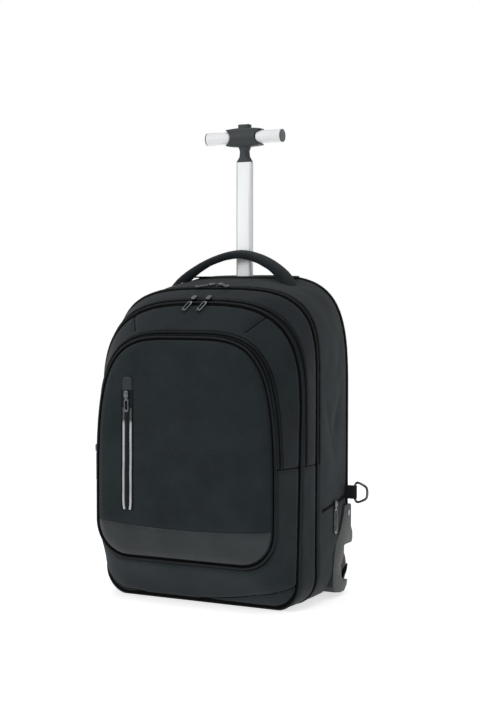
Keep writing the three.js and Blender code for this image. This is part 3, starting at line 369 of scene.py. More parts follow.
def skinAt(u, y):
    names = ["back", "main", "organizer", "pocket"]
    for rearName, frontName in zip(names, names[1:]):
        rear, front = seams[rearName], seams[frontName]
        if y >= front["y"] or frontName == "pocket":
            break
    share = (rear["y"] - y) / (rear["y"] - front["y"])
    (x0, z0), (x1, z1) = seamPoint(rear, u), seamPoint(front, u)
    return Vector((x0 + (x1 - x0) * share, y, z0 + (z1 - z0) * share))


def skinFacing(u, y, rear, front):
    low, high = max(front, y - 1), min(rear, y + 1)
    along = skinAt(u + 0.002, y) - skinAt(u - 0.002, y)
    across = skinAt(u, high) - skinAt(u, low)
    facing = across.cross(along).normalized()
    inPlane = Vector((along.z, 0, -along.x))
    return facing if facing.dot(inPlane) > 0 else -facing


print("seams laid out")


# Cloth walls of the bag
def laidOut(name, along, around, place, looks, lookAt=None, closed=True):
    # A sheet of even cells; lookAt picks one of its materials for each strip along it
    clearSelection()
    bpy.ops.mesh.primitive_grid_add(x_subdivisions=along, y_subdivisions=around, size=2)
    piece = added(name)
    for look in looks:
        piece.data.materials.append(look)
    for vertex in piece.data.vertices:
        vertex.co = place((vertex.co.x + 1) / 2, (vertex.co.y + 1) / 2) * mm
    if lookAt:
        for polygon in piece.data.polygons:
            polygon.material_index = lookAt(polygon.index // along)
    if closed:
        edit(piece, weld(0.02 * mm), outward)
    return piece


def faceOut(piece, centre):
    # An open sheet has no inside, so its normals are turned by where it stands
    away = sum((polygon.center - Vector(centre)).dot(polygon.normal) * polygon.area
               for polygon in piece.data.polygons)
    if away < 0:
        edit(piece, lambda: bpy.ops.mesh.flip_normals())
    return piece


dents = {"broad": 75, "broadDepth": 2.0, "small": 26, "smallDepth": 0.65, "pucker": 9, "puckerDepth": 0.6,
         "puckerReach": 9, "seamTuck": 2.4, "tuckReach": 1.8}
seamHalf = 4.0


def dentDepth(point, toSeam, seed):
    # Slack in the cloth: broad dents that die out at the seams, short puckers that start there, and the
    # tuck
    inner = 1 - math.exp(-toSeam / 16)
    broad = noiseAt(point, dents["broad"], seed) * dents["broadDepth"] * inner
    small = noiseAt(point, dents["small"], seed + 1) * dents["smallDepth"] * inner
    pucker = noiseAt(point, dents["pucker"], seed + 2) * dents["puckerDepth"]
    pucker *= math.exp(-toSeam / dents["puckerReach"])
    tuck = -dents["seamTuck"] * math.exp(-toSeam / dents["tuckReach"])
    return broad + small + pucker + tuck


def crease(point, start, end, width, depth):
    # A fold between two places, deepest in its middle
    a, b = Vector(start), Vector(end)
    run = b - a
    share = max(0, min(1, (point - a).dot(run) / run.length_squared))
    away = (point - (a + run * share)).length / width
    return -depth * math.exp(-away * away) * math.sin(math.pi * min(1, max(0, share * 0.9 + 0.05)))


def stitched(point, path, width=3.0, depth=1.5):
    # The groove that a sewn seam pulls into the cloth
    away = min((point - nearestOn(a, b, point)).length for a, b in zip(path, path[1:])) / width
    return -depth * math.exp(-away * away)


def nearestOn(a, b, point):
    run = b - a
    return a + run * max(0, min(1, (point - a).dot(run) / run.length_squared))


mainFolds = [
    {"start": (172, backY - 30, 330), "end": (172, backY - 66, 236), "width": 8, "depth": 1.1},
    {"start": (172, backY - 96, 316), "end": (172, backY - 62, 226), "width": 8, "depth": 0.9},
    {"start": (172, backY - 18, 420), "end": (172, backY - 50, 340), "width": 12, "depth": 1.1},
    {"start": (-172, backY - 24, 340), "end": (-172, backY - 74, 230), "width": 9, "depth": 1.2},
    {"start": (-172, backY - 90, 290), "end": (-172, backY - 40, 200), "width": 9, "depth": 1.0},
]
seamOrder = ["back", "main", "organizer", "pocket"]
mainY, organizerY, pocketY = (seams[name]["y"] for name in seamOrder[1:])


def uWhere(reached, low, high):
    # The u at which a test of the skin first holds
    for _ in range(30):
        u = (low + high) / 2
        if reached(u):
            high = u
        else:
            low = u
    return (low + high) / 2


def uOnTop(x, y):
    low, high = (0.25, 0.5) if x >= 0 else (0.5, 0.75)
    return uWhere(lambda u: skinAt(u, y).x <= x, low, high)


def uBelow(x, y):
    low, high = (0, 0.2) if x >= 0 else (0.8, 1)
    return uWhere(lambda u: skinAt(u, y).x >= x, low, high)


def uAtHeight(y, z, right=True):
    u = uWhere(lambda u: skinAt(u, y).z >= z, 0.06, 0.5)
    return u if right else 1 - u


# Sewn seams inside the walls, each a path of places round the bag and depths
zipEnd = 212
# Places across the panel's low seam and their distance ahead of the organizer's seam
smileTable = [(2, 4.3), (24, 5.5), (73, 11.5), (100, 16), (121, 18.5), (138, 17), (150, 12.5), (161, 4.3)]
smileLeftTable = [(-161, 4.3), (-155, 6.5), (-140, 7.5), (-120, 6.5), (-95, 4.3)]


def acrossWall(z, fromY, toY, right):
    depths = [fromY + (toY - fromY) * i / 6 for i in range(7)]
    return [(uAtHeight(y, z, right), y) for y in depths]


def dartPath(way):
    # From the organizer's seam down and inwards over the slope
    share = [i / dartSizes["steps"] for i in range(dartSizes["steps"] + 1)]
    depths = [organizerY - seamHalf - dartSizes["reach"] * part for part in share]
    return [(uOnTop(way * (dartSizes["outer"] - dartSizes["inwards"] * part), y), y)
            for part, y in zip(share, depths)]


def lowPath(table):
    return [(uBelow(x, organizerY - ahead), organizerY - ahead) for x, ahead in table]


dartSizes = {"outer": 112, "inwards": 20, "reach": 30, "steps": 5}
slopeSeams = {"dartRight": dartPath(1), "dartLeft": dartPath(-1)}
middleSeams = {}
for onRight, side in ((True, "Right"), (False, "Left")):
    slopeSeams[f"zipFoot{side}"] = acrossWall(zipEnd, organizerY - seamHalf, pocketY + seamHalf, onRight)
    middleSeams[f"middleFoot{side}"] = acrossWall(zipEnd, mainY - seamHalf, organizerY + seamHalf, onRight)
slopeSeams |= {"smileRight": lowPath(smileTable), "smileLeft": lowPath(smileLeftTable)}


def mainCreases(point):
    return sum(crease(point, **fold) for fold in mainFolds)


def grooves(paths):
    lines = [[skinAt(u, y) for u, y in path] for path in paths.values()]
    return lambda point: min(stitched(point, line) for line in lines)


def wallSkin(rearName, frontName, swell, seed, folds=None):
    rear, front = seams[rearName]["y"] - seamHalf, seams[frontName]["y"] + seamHalf

    def skin(u, y):
        v = (rear - y) / (rear - front)
        toSeam = max(0, min(rear - y, y - front))
        base = skinAt(u, y)
        facing = skinFacing(u, y, rear, front)
        lift = swell * 4 * max(0, v * (1 - v)) + dentDepth(base, toSeam, seed)
        if folds:
            lift += folds(base)
        moved = base + facing * lift
        flat = 1 - min(1, max(0, base.z / 8))
        if flat > 0:
            moved.z = max(moved.z, 0.0) * (1 - flat) + max(0.0, base.z) * flat
        return moved, facing
    return skin, rear, front


def crowded(v):
    # Even steps drawn towards both seams, where the cloth turns in
    return v - 0.8 * math.sin(2 * math.pi * v) / (2 * math.pi)


def thicken(piece, amount=None):
    finishWith(piece, "SOLIDIFY", thickness=(amount or bagSizes["cloth"]) * mm, offset=-1,
               use_even_offset=False)
    return smooth(piece, 50)


def clothWall(name, skinOf, along, across):
    skin, rear, front = skinOf
    piece = laidOut(name, along, across, lambda u, v: skin(u, rear + (front - rear) * crowded(v))[0],
                    [bagFabric])
    faceOut(piece, (0, (backY - 80) * mm, 0.25))
    return thicken(piece)


mainSkin = wallSkin("back", "main", bagSizes["mainSwell"], 3, mainCreases)
middleSkin = wallSkin("main", "organizer", bagSizes["middleSwell"], 7, grooves(middleSeams))
slopeSkin = wallSkin("organizer", "pocket", 0, 11, grooves(slopeSeams))
mainSheet = clothWall("mainGussetCloth", mainSkin, 320, 48)
middleSheet = clothWall("middleGussetCloth", middleSkin, 400, 26)
slopeSheet = clothWall("organizerCloth", slopeSkin, 480, 30)
print("cloth walls made")


def boxCutter(low, high):
    clearSelection()
    middle = [(a + b) / 2 * mm for a, b in zip(low, high)]
    bpy.ops.mesh.primitive_cube_add(size=1, location=middle)
    piece = added("cutter")
    piece.scale = [(b - a) * mm for a, b in zip(low, high)]
    return settle(piece)


def nodeCutter(node, grow):
    # The outer form of a CAD node, a little larger
    piece = bpy.data.objects.new("cutter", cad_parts[node].data.copy())
    bpy.context.scene.collection.objects.link(piece)
    edit(piece, weld())
    edit(piece, bpy.ops.mesh.convex_hull)
    centre = sum((Vector(c) for c in piece.bound_box), Vector()) / 8
    size = [max(c[i] for c in piece.bound_box) - min(c[i] for c in piece.bound_box) for i in range(3)]
    for vertex in piece.data.vertices:
        for i in range(3):
            vertex.co[i] = centre[i] + (vertex.co[i] - centre[i]) * (1 + 2 * grow * mm / size[i])
    return piece


trayLow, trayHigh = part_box("trolley_tray")
trayRoom = {"low": Vector((-0.4, -0.4, 24)), "high": Vector((0.4, 6, 30))}
carve(mainSheet, boxCutter(trayLow / mm + trayRoom["low"], trayHigh / mm + trayRoom["high"]))
for end in sides:
    carve(mainSheet, nodeCutter(f"wheel_housing_{end}", 1.2))
finished(smooth(mainSheet, 50), None, "bag", "fabric", "main_gusset")
finished(middleSheet, None, "bag", "fabric", "middle_gusset")
finished(slopeSheet, None, "bag", "fabric", "organizer_panel")
print("recesses cut")


# Piping along each seam: a cord that stands up out of a welt painted black as the shade in the grooves beside
# it
pipeSizes = {"radius": 1.75, "proud": 1.1, "along": 320, "floor": 2.5, "under": 1.3, "reach": 3.9,
             "arc": 11,
             "facePull": 5.0, "pocketLean": 0.9, "backLean": 0.6, "startAngle": -25, "sweep": 230}


def seamFacing(seamName, u):
    y = seams[seamName]["y"]
    facing = skinFacing(u, y, y + 1, y - 1)
    if seamName == "pocket":
        facing = (facing + Vector((0, -pipeSizes["pocketLean"], 0))).normalized()
    if seamName == "back":
        facing = (facing + Vector((0, pipeSizes["backLean"], 0))).normalized()
    return facing


def pipeSection(seamName, u):
    seam = seams[seamName]
    y, order = seam["y"], seamOrder.index(seamName)
    facing = seamFacing(seamName, u)
    x, z = seamPoint(seam, u)
    edge = Vector((x, y, z))
    wobble = noiseAt(edge, 24, 5) * 0.35
    ahead, behind = seamPoint(seam, u + 0.003), seamPoint(seam, u - 0.003)
    along = Vector((ahead[0] - behind[0], 0, ahead[1] - behind[1])).normalized()
    aside = facing.cross(along)
    aside = aside if aside.y > 0 else -aside
    inward = -Vector((facing.x, 0, facing.z)).normalized()
    centre = edge + facing * (pipeSizes["proud"] - pipeSizes["radius"]) + aside * wobble
    reach, floor = pipeSizes["reach"], pipeSizes["floor"]
    ends = []
    for way in (1, -1):
        onFace = (way < 0 and seamName == "pocket") or (way > 0 and seamName == "back")
        if onFace:
            place = edge + inward * pipeSizes["facePull"] + Vector((0, -way * 1.2, 0))
            ends.append((place, place + Vector((0, -way * pipeSizes["under"], 0))))
        else:
            wallY = y + way * reach
            rearY, frontY = (y + 50, y + 1) if way > 0 else (y - 1, y - 50)
            wallFacing = skinFacing(u, wallY, rearY, frontY)
            place = skinAt(u, wallY) - wallFacing * floor
            ends.append((place, place - wallFacing * pipeSizes["under"]))
    section = []
    arc = pipeSizes["arc"]
    ridge = noiseAt(edge, 5, 6) * 0.08
    for i in range(arc):
        angle = math.radians(pipeSizes["startAngle"] + pipeSizes["sweep"] * i / (arc - 1))
        radius = pipeSizes["radius"] + ridge
        section.append(centre + aside * math.cos(angle) * radius + facing * math.sin(angle) * radius)
    (rearTop, rearLow), (frontTop, frontLow) = ends
    section += [frontTop, frontLow, rearLow, rearTop]
    if seam is not seams["pocket"]:
        for point in section:
            point.z = max(point.z, 0.0)
    return section


def pipeRing(name, seamName):
    along = pipeSizes["along"]
    sections = [pipeSection(seamName, i / along) for i in range(along)]
    around = len(sections[0])

    def place(u, v):
        return sections[round(u * along) % along][round(v * around) % around]

    # The welt rows under the cord take the near-black painted groove shade
    return smooth(laidOut(name, along, around, place, [pipingSkin, threadAndGrooveShade],
                          lambda k: 0 if k < pipeSizes["arc"] - 1 else 1), 50)


for seamName in seamOrder:
    pipe = pipeRing(f"{seamName}PipingCord", seamName)
    if seamName == "back":
        for end in sides:
            carve(pipe, nodeCutter(f"wheel_housing_{end}", 0.4))
        smooth(pipe, 50)
    finished(pipe, None, "bag", "piping", f"{seamName}_piping")
print("piping made")


# Front pocket and its band
pocketSizes = {"rim": 4.2, "crown": 12, "rings": 48, "bandHeight": 50, "bandSmile": 7.5}
crownTable = [(1, 0), (0.984, 0.4), (0.94, 0.7), (0.85, 0.88), (0.6, 0.98), (0.25, 1), (0, 1)]
pocketMiddle = bagSizes["pocketLift"] + bagSizes["pocketHeight"] / 2


def crownRise(size):
    for (s0, r0), (s1, r1) in zip(crownTable, crownTable[1:]):
        if size >= s1:
            return r0 + (r1 - r0) * (s0 - size) / (s0 - s1)
    return 1


def roundCrown(size):
    # The table's polyline, rounded over
    spread = 0.03
    samples = [crownRise(min(1, max(0, size + spread * k / 4))) for k in range(-4, 5)]
    return sum(samples) / len(samples) if size < 0.965 else crownRise(size)


def smileHeight(x):
    share = x / (bagSizes["pocketWidth"] / 2)
    return bagSizes["pocketLift"] + pocketSizes["bandHeight"] + pocketSizes["bandSmile"] * share * share


def pocketPlace(u, v):
    size = 1 - v ** 1.6
    x, z = seamPoint(seams["pocket"], u)
    ahead, behind = seamPoint(seams["pocket"], u + 0.004), seamPoint(seams["pocket"], u - 0.004)
    run = Vector((ahead[0] - behind[0], 0, ahead[1] - behind[1])).normalized()
    rimX, rimZ = x - run.z * pocketSizes["rim"], z + run.x * pocketSizes["rim"]
    px = rimX * size
    pz = pocketMiddle + (rimZ - pocketMiddle) * size
    toSeam = (1 - size) * 150
    toSmile = abs(pz - smileHeight(px))
    lift = roundCrown(size) * pocketSizes["crown"] + dentDepth(Vector((px, 0, pz)), toSeam, 15) * 0.8
    lift -= 1.2 * math.exp(-(toSmile / 1.8) ** 2)
    return Vector((px, pocketY - lift, pz))


pocketSheet = laidOut("frontPocketCloth", 320, pocketSizes["rings"], pocketPlace, [bagFabric])
faceOut(pocketSheet, (0, backY * mm, 0.25))
pocketTree = BVHTree.FromPolygons([v.co / mm for v in pocketSheet.data.vertices],
                                  [list(p.vertices) for p in pocketSheet.data.polygons])
thicken(pocketSheet)


def onPocket(x, z, height):
    hit = pocketTree.ray_cast(Vector((x, pocketY - 60, z)), Vector((0, 1, 0)))[0]
    return Vector((x, hit.y - height, z))


def belowSmile(shift):
    # Everything under the smiling seam, as a block
    clearSelection()
    bpy.ops.mesh.primitive_grid_add(x_subdivisions=60, y_subdivisions=1, size=2)
    piece = added("cutter")
    for vertex in piece.data.vertices:
        x = vertex.co.x * 170
        z = smileHeight(x) + shift if vertex.co.y > 0 else 40
        vertex.co = Vector((x, pocketY - 40, z)) * mm
    through = {"value": (0, 80 * mm, 0)}
    return edit(piece, lambda: bpy.ops.mesh.extrude_region_move(TRANSFORM_OT_translate=through),
                selectAll, outward)


bandSheet = pocketSheet.copy()
bandSheet.data = pocketSheet.data.copy()
bpy.context.scene.collection.objects.link(bandSheet)
bandSheet.name = "pocketBandSkin"
bandSheet.data.materials.clear()
carve(pocketSheet, belowSmile(0.15))
carve(bandSheet, belowSmile(-0.15), "INTERSECT")
finished(smooth(pocketSheet, 50), None, "bag", "fabric", "front_pocket")
finished(smooth(bandSheet, 50), leatherLook, "bag", "leather_look", "pocket_band")
print("front pocket made")


# Strips that run along a path: zips, threads and rings
def strip(name, frames, profile, looks, ring=False, tooth=(0, 0)):
    # Each profile row is a distance across, a height and a look; the teeth swell and sink the last look's
    # rows
    along, around = len(frames) - 1, len(profile)
    deep, period = tooth

    def place(u, v):
        i, k = round(u * along), round(v * around) % around
        centre, sideways, facing = frames[i]
        across, height, look = profile[k]
        if look and deep:
            height += deep * math.cos(2 * math.pi * i / period)
        return centre + sideways * across + facing * height

    piece = laidOut(name, along, around, place, looks, lambda k: profile[k][2])
    if not ring:
        closeEnds(piece)
    return smooth(piece, 60)


def framesOn(points, facings, closed=False):
    # Sideways directions worked out from a path and the way it faces
    frames = []
    count = len(points)
    for i, (point, facing) in enumerate(zip(points, facings)):
        ahead = points[(i + 1) % count] if closed else points[min(i + 1, count - 1)]
        behind = points[i - 1] if closed else points[max(i - 1, 0)]
        frames.append((point, (ahead - behind).cross(facing).normalized(), facing))
    return frames + frames[:1] if closed else frames


zipSizes = {"step": 0.8, "pitch": 2.4, "behind": 7.5, "spread": {"main": 7.5, "organizer": 14,
                                                                 "pocket": 12},
            "lift": 0.25, "tooth": 0.14}
zipProfile = [(-3.5, -0.5, 0), (-3.5, 0.4, 0), (-1.7, 0.55, 1), (-1.2, 1.0, 1), (-0.55, 1.25, 1),
              (0, 1.0, 1),
              (0.55, 1.25, 1), (1.2, 1.0, 1), (1.7, 0.55, 0), (3.5, 0.4, 0), (3.5, -0.5, 0)]


def ringZip(seamName, skinOf):
    seam = seams[seamName]
    skin = skinOf[0]
    top = seamPoint(seam, 0.5)[1]
    spread = zipSizes["spread"][seamName]
    start = uAtHeight(seam["y"] + spread, zipEnd)
    along = round(seam["half"] * 2 * (1 - 2 * start) / zipSizes["step"])
    points, facings = [], []
    for i in range(along + 1):
        u = start + (1 - 2 * start) * i / along
        share = min(1, max(0, (top - seamPoint(seam, u)[1]) / (top - zipEnd)))
        y = seam["y"] + zipSizes["behind"] + (spread - zipSizes["behind"]) * share
        point, facing = skin(u, y)
        points.append(point + facing * zipSizes["lift"])
        facings.append(facing)
    piece = strip(f"{seamName}RingZip", framesOn(points, facings), zipProfile, [tapeFabric, coilNylon],
                  tooth=(zipSizes["tooth"], zipSizes["pitch"] / zipSizes["step"]))
    return finished(piece, None, "bag", "zip_tape", f"{seamName}_zip")


ringZip("main", mainSkin)
ringZip("organizer", middleSkin)
ringZip("pocket", slopeSkin)
print("ring zips made")

threadProfile = [(-1.1, -0.8, 0), (-1.0, 0.3, 0), (0, 0.55, 0), (1.0, 0.3, 0), (1.1, -0.8, 0)]


def seamLine(name, path, skinOf):
    # A fine dark seam that lies in its groove and follows the cloth
    places = []
    for (u0, y0), (u1, y1) in zip(path, path[1:]):
        count = max(2, int((skinAt(u1, y1) - skinAt(u0, y0)).length / 1.5))
        places += [skinOf[0](u0 + (u1 - u0) * i / count, y0 + (y1 - y0) * i / count) for i in range(count)]
    places.append(skinOf[0](*path[-1]))
    points, facings = zip(*places)
    piece = strip(name, framesOn(points, facings), threadProfile, [threadAndGrooveShade])
    return finished(piece, None, "bag", "piping")


for paths, skinOf in ((slopeSeams, slopeSkin), (middleSeams, middleSkin)):
    for seamNote, path in paths.items():
        seamLine(f"{seamNote}Seam", path, skinOf)
print("fine seams made")


# Front zip with its bright stripes and the cover tab
zipPlace = {"x": -88.5, "low": 142, "length": 178, "width": 20, "stripeLength": 152, "stripeWidth": 3.4,
            "spacing": 12.4, "garageLength": 20, "garageWidth": 16}
zipTop = zipPlace["low"] + zipPlace["length"]


def pocketStrip(name, x, low, high, profile, looks, bendIn=0.0, tooth=(0, 0)):
    points, facings = [], []
    count = int((high - low) / 0.8)
    for i in range(count + 1):
        z = low + (high - low) * i / count
        inwards = bendIn * max(0, 1 - (z - low) / 14) ** 2
        points.append(onPocket(x + inwards, z, 0))
        facings.append(Vector((0, -1, 0)))
    return strip(name, framesOn(points, facings), profile, looks, tooth=tooth)


tapeHalf = zipPlace["width"] / 2
frontTape = pocketStrip("frontZipTape", zipPlace["x"], zipPlace["low"], zipTop, [
    (-tapeHalf, 0.1, 0), (-tapeHalf, 0.9, 0), (-tapeHalf + 0.9, 1.0, 0), (-tapeHalf + 1.0, 0.7, 1),
    (-4.2, 0.7, 1), (-4.0, 1.0, 1),
    (-1.6, 1.0, 2), (-1.0, 1.5, 2), (0, 1.35, 2), (1.0, 1.5, 2), (1.6, 1.0, 1), (4.0, 1.0, 1),
    (4.2, 0.7, 1),
    (tapeHalf - 1.0, 0.7, 1), (tapeHalf - 0.9, 1.0, 0), (tapeHalf, 0.9, 0), (tapeHalf, 0.1, 0)],
    [tapeFabric, zipFlap, coilNylon], tooth=(0.12, 3))
finished(frontTape, None, "bag", "zip_tape", "front_zip")
stripeHalf = zipPlace["stripeWidth"] / 2
for end, way in sides.items():
    stripe = pocketStrip(f"zipStripe.{end}", zipPlace["x"] + way * zipPlace["spacing"] / 2,
                         zipPlace["low"] + 0.3,
                         zipPlace["low"] + zipPlace["stripeLength"],
                         [(-stripeHalf, 0.8, 0), (-stripeHalf, 1.5, 0), (-stripeHalf + 0.4, 1.8, 0),
                          (0, 1.95, 0),
                          (stripeHalf - 0.4, 1.8, 0), (stripeHalf, 1.5, 0), (stripeHalf, 0.8, 0)],
                          [reflectiveFilm], bendIn=-way * 1.6)
    finished(stripe, None, "bag", "reflective", f"zip_stripe_{end}")


def coverTab(name, x, low, length, width, height, corner):
    # A flat tab with rounded upper corners that lies over the end of the zip
    def place(u, v):
        z = low + length * v
        over = max(0, z - (low + length - corner)) / corner
        reach = width / 2 - corner * (1 - max(0, 1 - over * over) ** 0.5)
        pillow = 0.5 * (1 - (2 * u - 1) ** 4) * (1 - (2 * v - 1) ** 6)
        return onPocket(x + (2 * u - 1) * reach, z, height + pillow)

    piece = laidOut(name, 16, 20, place, [], closed=False)
    faceOut(piece, (0, backY * mm, 0.25))
    return thicken(piece, 1.4)


garage = coverTab("zipGarageTab", zipPlace["x"], zipTop + 0.3, zipPlace["garageLength"] - 0.3,
                  zipPlace["garageWidth"], 1.2, 5)
finished(garage, leatherLook, "bag", "leather_look", "zip_garage")
print("front zip made")


# Hard pieces keep the CAD's shape and get their small rounded edges
def copyOf(node, name):
    piece = bpy.data.objects.new(name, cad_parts[node].data.copy())
    bpy.context.scene.collection.objects.link(piece)
    piece.data.materials.clear()
    return edit(piece, weld())


def dressed(node, name, material, body, slot, bevel=0.4, segments=2, angle=28):
    piece = copyOf(node, name)
    edit(piece, lambda: bpy.ops.mesh.dissolve_limited(angle_limit=math.radians(0.8)))
    if bevel:
        finishWith(piece, "BEVEL", width=bevel * mm, segments=segments, limit_method="ANGLE",
                   angle_limit=math.radians(angle))
    smooth(piece, 35)
    return finished(piece, material, body, slot, node)


metalSizes = {"slider": 1.0, "pull": 0.6, "segments": 3}
zipEnds = [(zipName, f"_{end}") for zipName in ("organizer", "main") for end in sides]
zipEnds += [(zipName, "") for zipName in ("front", "edge", "side")]
for zipName, ending in zipEnds:
    for kind in ("slider", "pull"):
        node = f"{zipName}_{kind}{ending}"
        dressed(node, f"zip.{node}", blackNickel, "bag", "black_metal", metalSizes[kind],
                metalSizes["segments"])
dressed("side_zip", "sideZipTape", tapeFabric, "bag", "zip_tape", 0.2, 2)
dressed("pocket_back", "pocketBackCloth", bagFabric, "bag", "fabric", 0)
for end in sides:
    dressed(f"strap_tab_{end}", f"strapTab.{end}", webbingFabric, "bag", "webbing", 0.5, 3)
print("sliders and pulls made")


# Bent wire rings
ringSizes = {"wire": 2.0, "sides": 12, "steps": 8}


def splineThrough(corners, steps):
    points = []
    count = len(corners)
    for i in range(count):
        p0, p1, p2, p3 = (corners[(i + k) % count] for k in (-1, 0, 1, 2))
        for j in range(steps):
            t = j / steps
            points.append(0.5 * (2 * p1 + (p2 - p0) * t + (2 * p0 - 5 * p1 + 4 * p2 - p3) * t * t
                                 + (3 * p1 - p0 - 3 * p2 + p3) * t ** 3))
    return points


for end, side in sides.items():
    low, high = (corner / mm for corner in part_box(f"d_ring_{end}"))
    wire = ringSizes["wire"]
    near, far = (low.x, high.x) if side > 0 else (high.x, low.x)
    inner, outer = near + side * wire, far - side * wire
    bottom, top, middle = low.z + 1.6 * wire, high.z - 1.6 * wire, (low.z + high.z) / 2
    y, bend = (low.y + high.y) / 2, (high.z - low.z) * 0.22
    path = [(inner, bottom + bend), (inner, middle), (inner, top - bend), (inner + side * bend * 0.6, top),
            (outer - side * bend * 1.0, top - bend * 0.3),
            (outer - side * bend * 0.1, middle + bend * 0.85),
            (outer - side * bend * 0.1, middle - bend * 0.85),
            (outer - side * bend * 1.0, bottom + bend * 0.3),
            (inner + side * bend * 0.6, bottom)]
    points = splineThrough([Vector((x, y, z)) for x, z in path], ringSizes["steps"])
    centre = Vector(((inner + outer) / 2, y, middle))
    ringFrames = framesOn(points, [(point - centre).normalized() for point in points], closed=True)
    circle = [(wire * math.cos(2 * math.pi * k / ringSizes["sides"]),
               wire * math.sin(2 * math.pi * k / ringSizes["sides"]), 0) for k in range(ringSizes["sides"])]
    ring = strip(f"dRing.{end}", ringFrames, circle, [blackNickel], ring=True)
    finished(ring, None, "bag", "black_metal", f"d_ring_{end}")
print("rings made")


# Padded pieces: blown up a little by a cloth simulation
padSizes = {"voxel": 4.5, "pressure": 4.0, "cap": 1.6, "frames": 20}


def puffed(piece, voxel, pressure, cap):
    pick(piece)
    piece.data.remesh_voxel_size = voxel * mm
    bpy.ops.object.voxel_remesh()
    rest = [vertex.co.copy() for vertex in piece.data.vertices]
    cloth = piece.modifiers.new("cloth", "CLOTH")
    cloth.settings.quality = 6
    cloth.settings.mass = 0.3
    cloth.settings.tension_stiffness = 20
    cloth.settings.compression_stiffness = 20
    cloth.settings.bending_stiffness = 0.6
    cloth.settings.use_pressure = True
    cloth.settings.uniform_pressure_force = pressure
    cloth.settings.effector_weights.gravity = 0
    cloth.point_cache.frame_start = 1
    cloth.point_cache.frame_end = padSizes["frames"]
    for step in range(1, padSizes["frames"] + 1):
        bpy.context.scene.frame_set(step)
    bpy.ops.object.modifier_apply(modifier=cloth.name)
    bpy.context.scene.frame_set(1)
    for vertex, start in zip(piece.data.vertices, rest):
        moved = vertex.co - start
        if moved.length > cap * mm:
            vertex.co = start + moved * (cap * mm / moved.length)
    finishWith(piece, "SUBSURF", levels=1)
    return piece


# Carry handle: a padded strap bent into an arch, rolled under along its middle
carrySizes = {"span": 212, "rise": 62, "above": 40, "width": 25.5, "thickness": 11.5, "forward": 33,
              "lean": 24,
              "tilt": 0.24, "roundness": 1.65, "squareness": 0.75, "growth": 2.1, "stations": 90,
              "sides": 32,
              "aside": 2, "inset": 6, "rollRise": 2.2, "rollSpread": 0.035, "pinch": 0.8, "pinchAt": 0.1,
              "pinchSpread": 0.05, "wave": 0.4, "waveSize": 12, "voxel": 2.2, "pressure": 2.0, "cap": 1.2}


def carrySection(share):
    angle = share * math.pi
    cosine = math.cos(angle)
    across = math.copysign(abs(cosine) ** (2 / carrySizes["roundness"]), cosine)
    up = max(0, math.sin(angle)) ** (2 / carrySizes["roundness"])
    thickness = carrySizes["thickness"] / 2 * (1 + (carrySizes["growth"] - 1) * (1 - up) ** 2)
    inset = carrySizes["inset"]
    centre = Vector((across * (carrySizes["span"] / 2 - inset) - carrySizes["aside"],
                     backY - carrySizes["forward"] - carrySizes["lean"] * (1 - up),
                     bagSizes["height"] + carrySizes["above"] - inset - carrySizes["rise"] * (1 - up)))
    return centre, thickness


def carryPlace(u, v):
    # u runs round the section and v along the arch
    share = min(1, max(0, v))
    centre, thick = carrySection(share)
    before, after = carrySection(max(0, share - 0.01))[0], carrySection(min(1, share + 0.01))[0]
    run = (after - before).normalized()
    out = Vector((run.z, 0, -run.x)).normalized()
    out = out if out.z > 0 or abs(out.x) > 0.9 and out.x * centre.x > 0 else -out
    lean, level = math.sin(carrySizes["tilt"]), math.cos(carrySizes["tilt"])
    wideAlong = Vector((0, level, 0)) + out * lean
    thickAlong = out * level - Vector((0, lean, 0))
    angle = 2 * math.pi * u
    power = carrySizes["squareness"]
    wide = math.copysign(abs(math.cos(angle)) ** power, math.cos(angle)) * carrySizes["width"] / 2
    thickness = math.copysign(abs(math.sin(angle)) ** power, math.sin(angle)) * thick
    under = min(abs(u - 0.75), 1 - abs(u - 0.75))
    if math.sin(angle) < 0:
        wave = noiseAt(centre, carrySizes["waveSize"], 41) * carrySizes["wave"]
        beside = (under - carrySizes["pinchAt"]) / carrySizes["pinchSpread"]
        thickness += carrySizes["rollRise"] * math.exp(-(under / carrySizes["rollSpread"]) ** 2)
        thickness -= (carrySizes["pinch"] + wave) * math.exp(-beside ** 2)
    return centre + wideAlong * wide + thickAlong * (thickness + noiseAt(centre, 20, 43) * 0.3)


carryPad = laidOut("carryHandlePad", carrySizes["sides"], carrySizes["stations"], carryPlace, [bagFabric])
closeEnds(carryPad)
puffed(carryPad, carrySizes["voxel"], carrySizes["pressure"], carrySizes["cap"])
wallAt, wallRear, wallFront = mainSkin
insideBag = laidOut("cutter", 160, 24, lambda u, v: wallAt(u, wallRear + (wallFront - wallRear) * v)[0]
                    + Vector((0, 0, 0.3)), [])
closeEnds(insideBag)
carve(carryPad, insideBag)
finished(smooth(carryPad, 60), None, "bag", "fabric", "carry_handle")
seamShares = [0.07 + 0.86 * i / 120 for i in range(121)]
seamPlaces = [carryPlace(0.75, share) for share in seamShares]
seamFacings = [(place - carrySection(share)[0]).normalized() for place,
               share in zip(seamPlaces, seamShares)]
underSeam = strip("carryHandleSeam", framesOn(seamPlaces, seamFacings),
                  [(-0.8, -0.6, 0), (-0.6, 0.3, 0), (0.6, 0.3, 0), (0.8, -0.6, 0)], [threadAndGrooveShade])
finished(underSeam, None, "bag", "piping")
print("carry handle made")


# Back panel: a padded sheet of spacer mesh, crowned between its edges
backSizes = {"inset": 6.5, "thickness": 3.6, "crown": 5.0, "rings": 26, "along": 160, "channel": 1.6,
             "channelAt": 34, "channelSpread": 5}


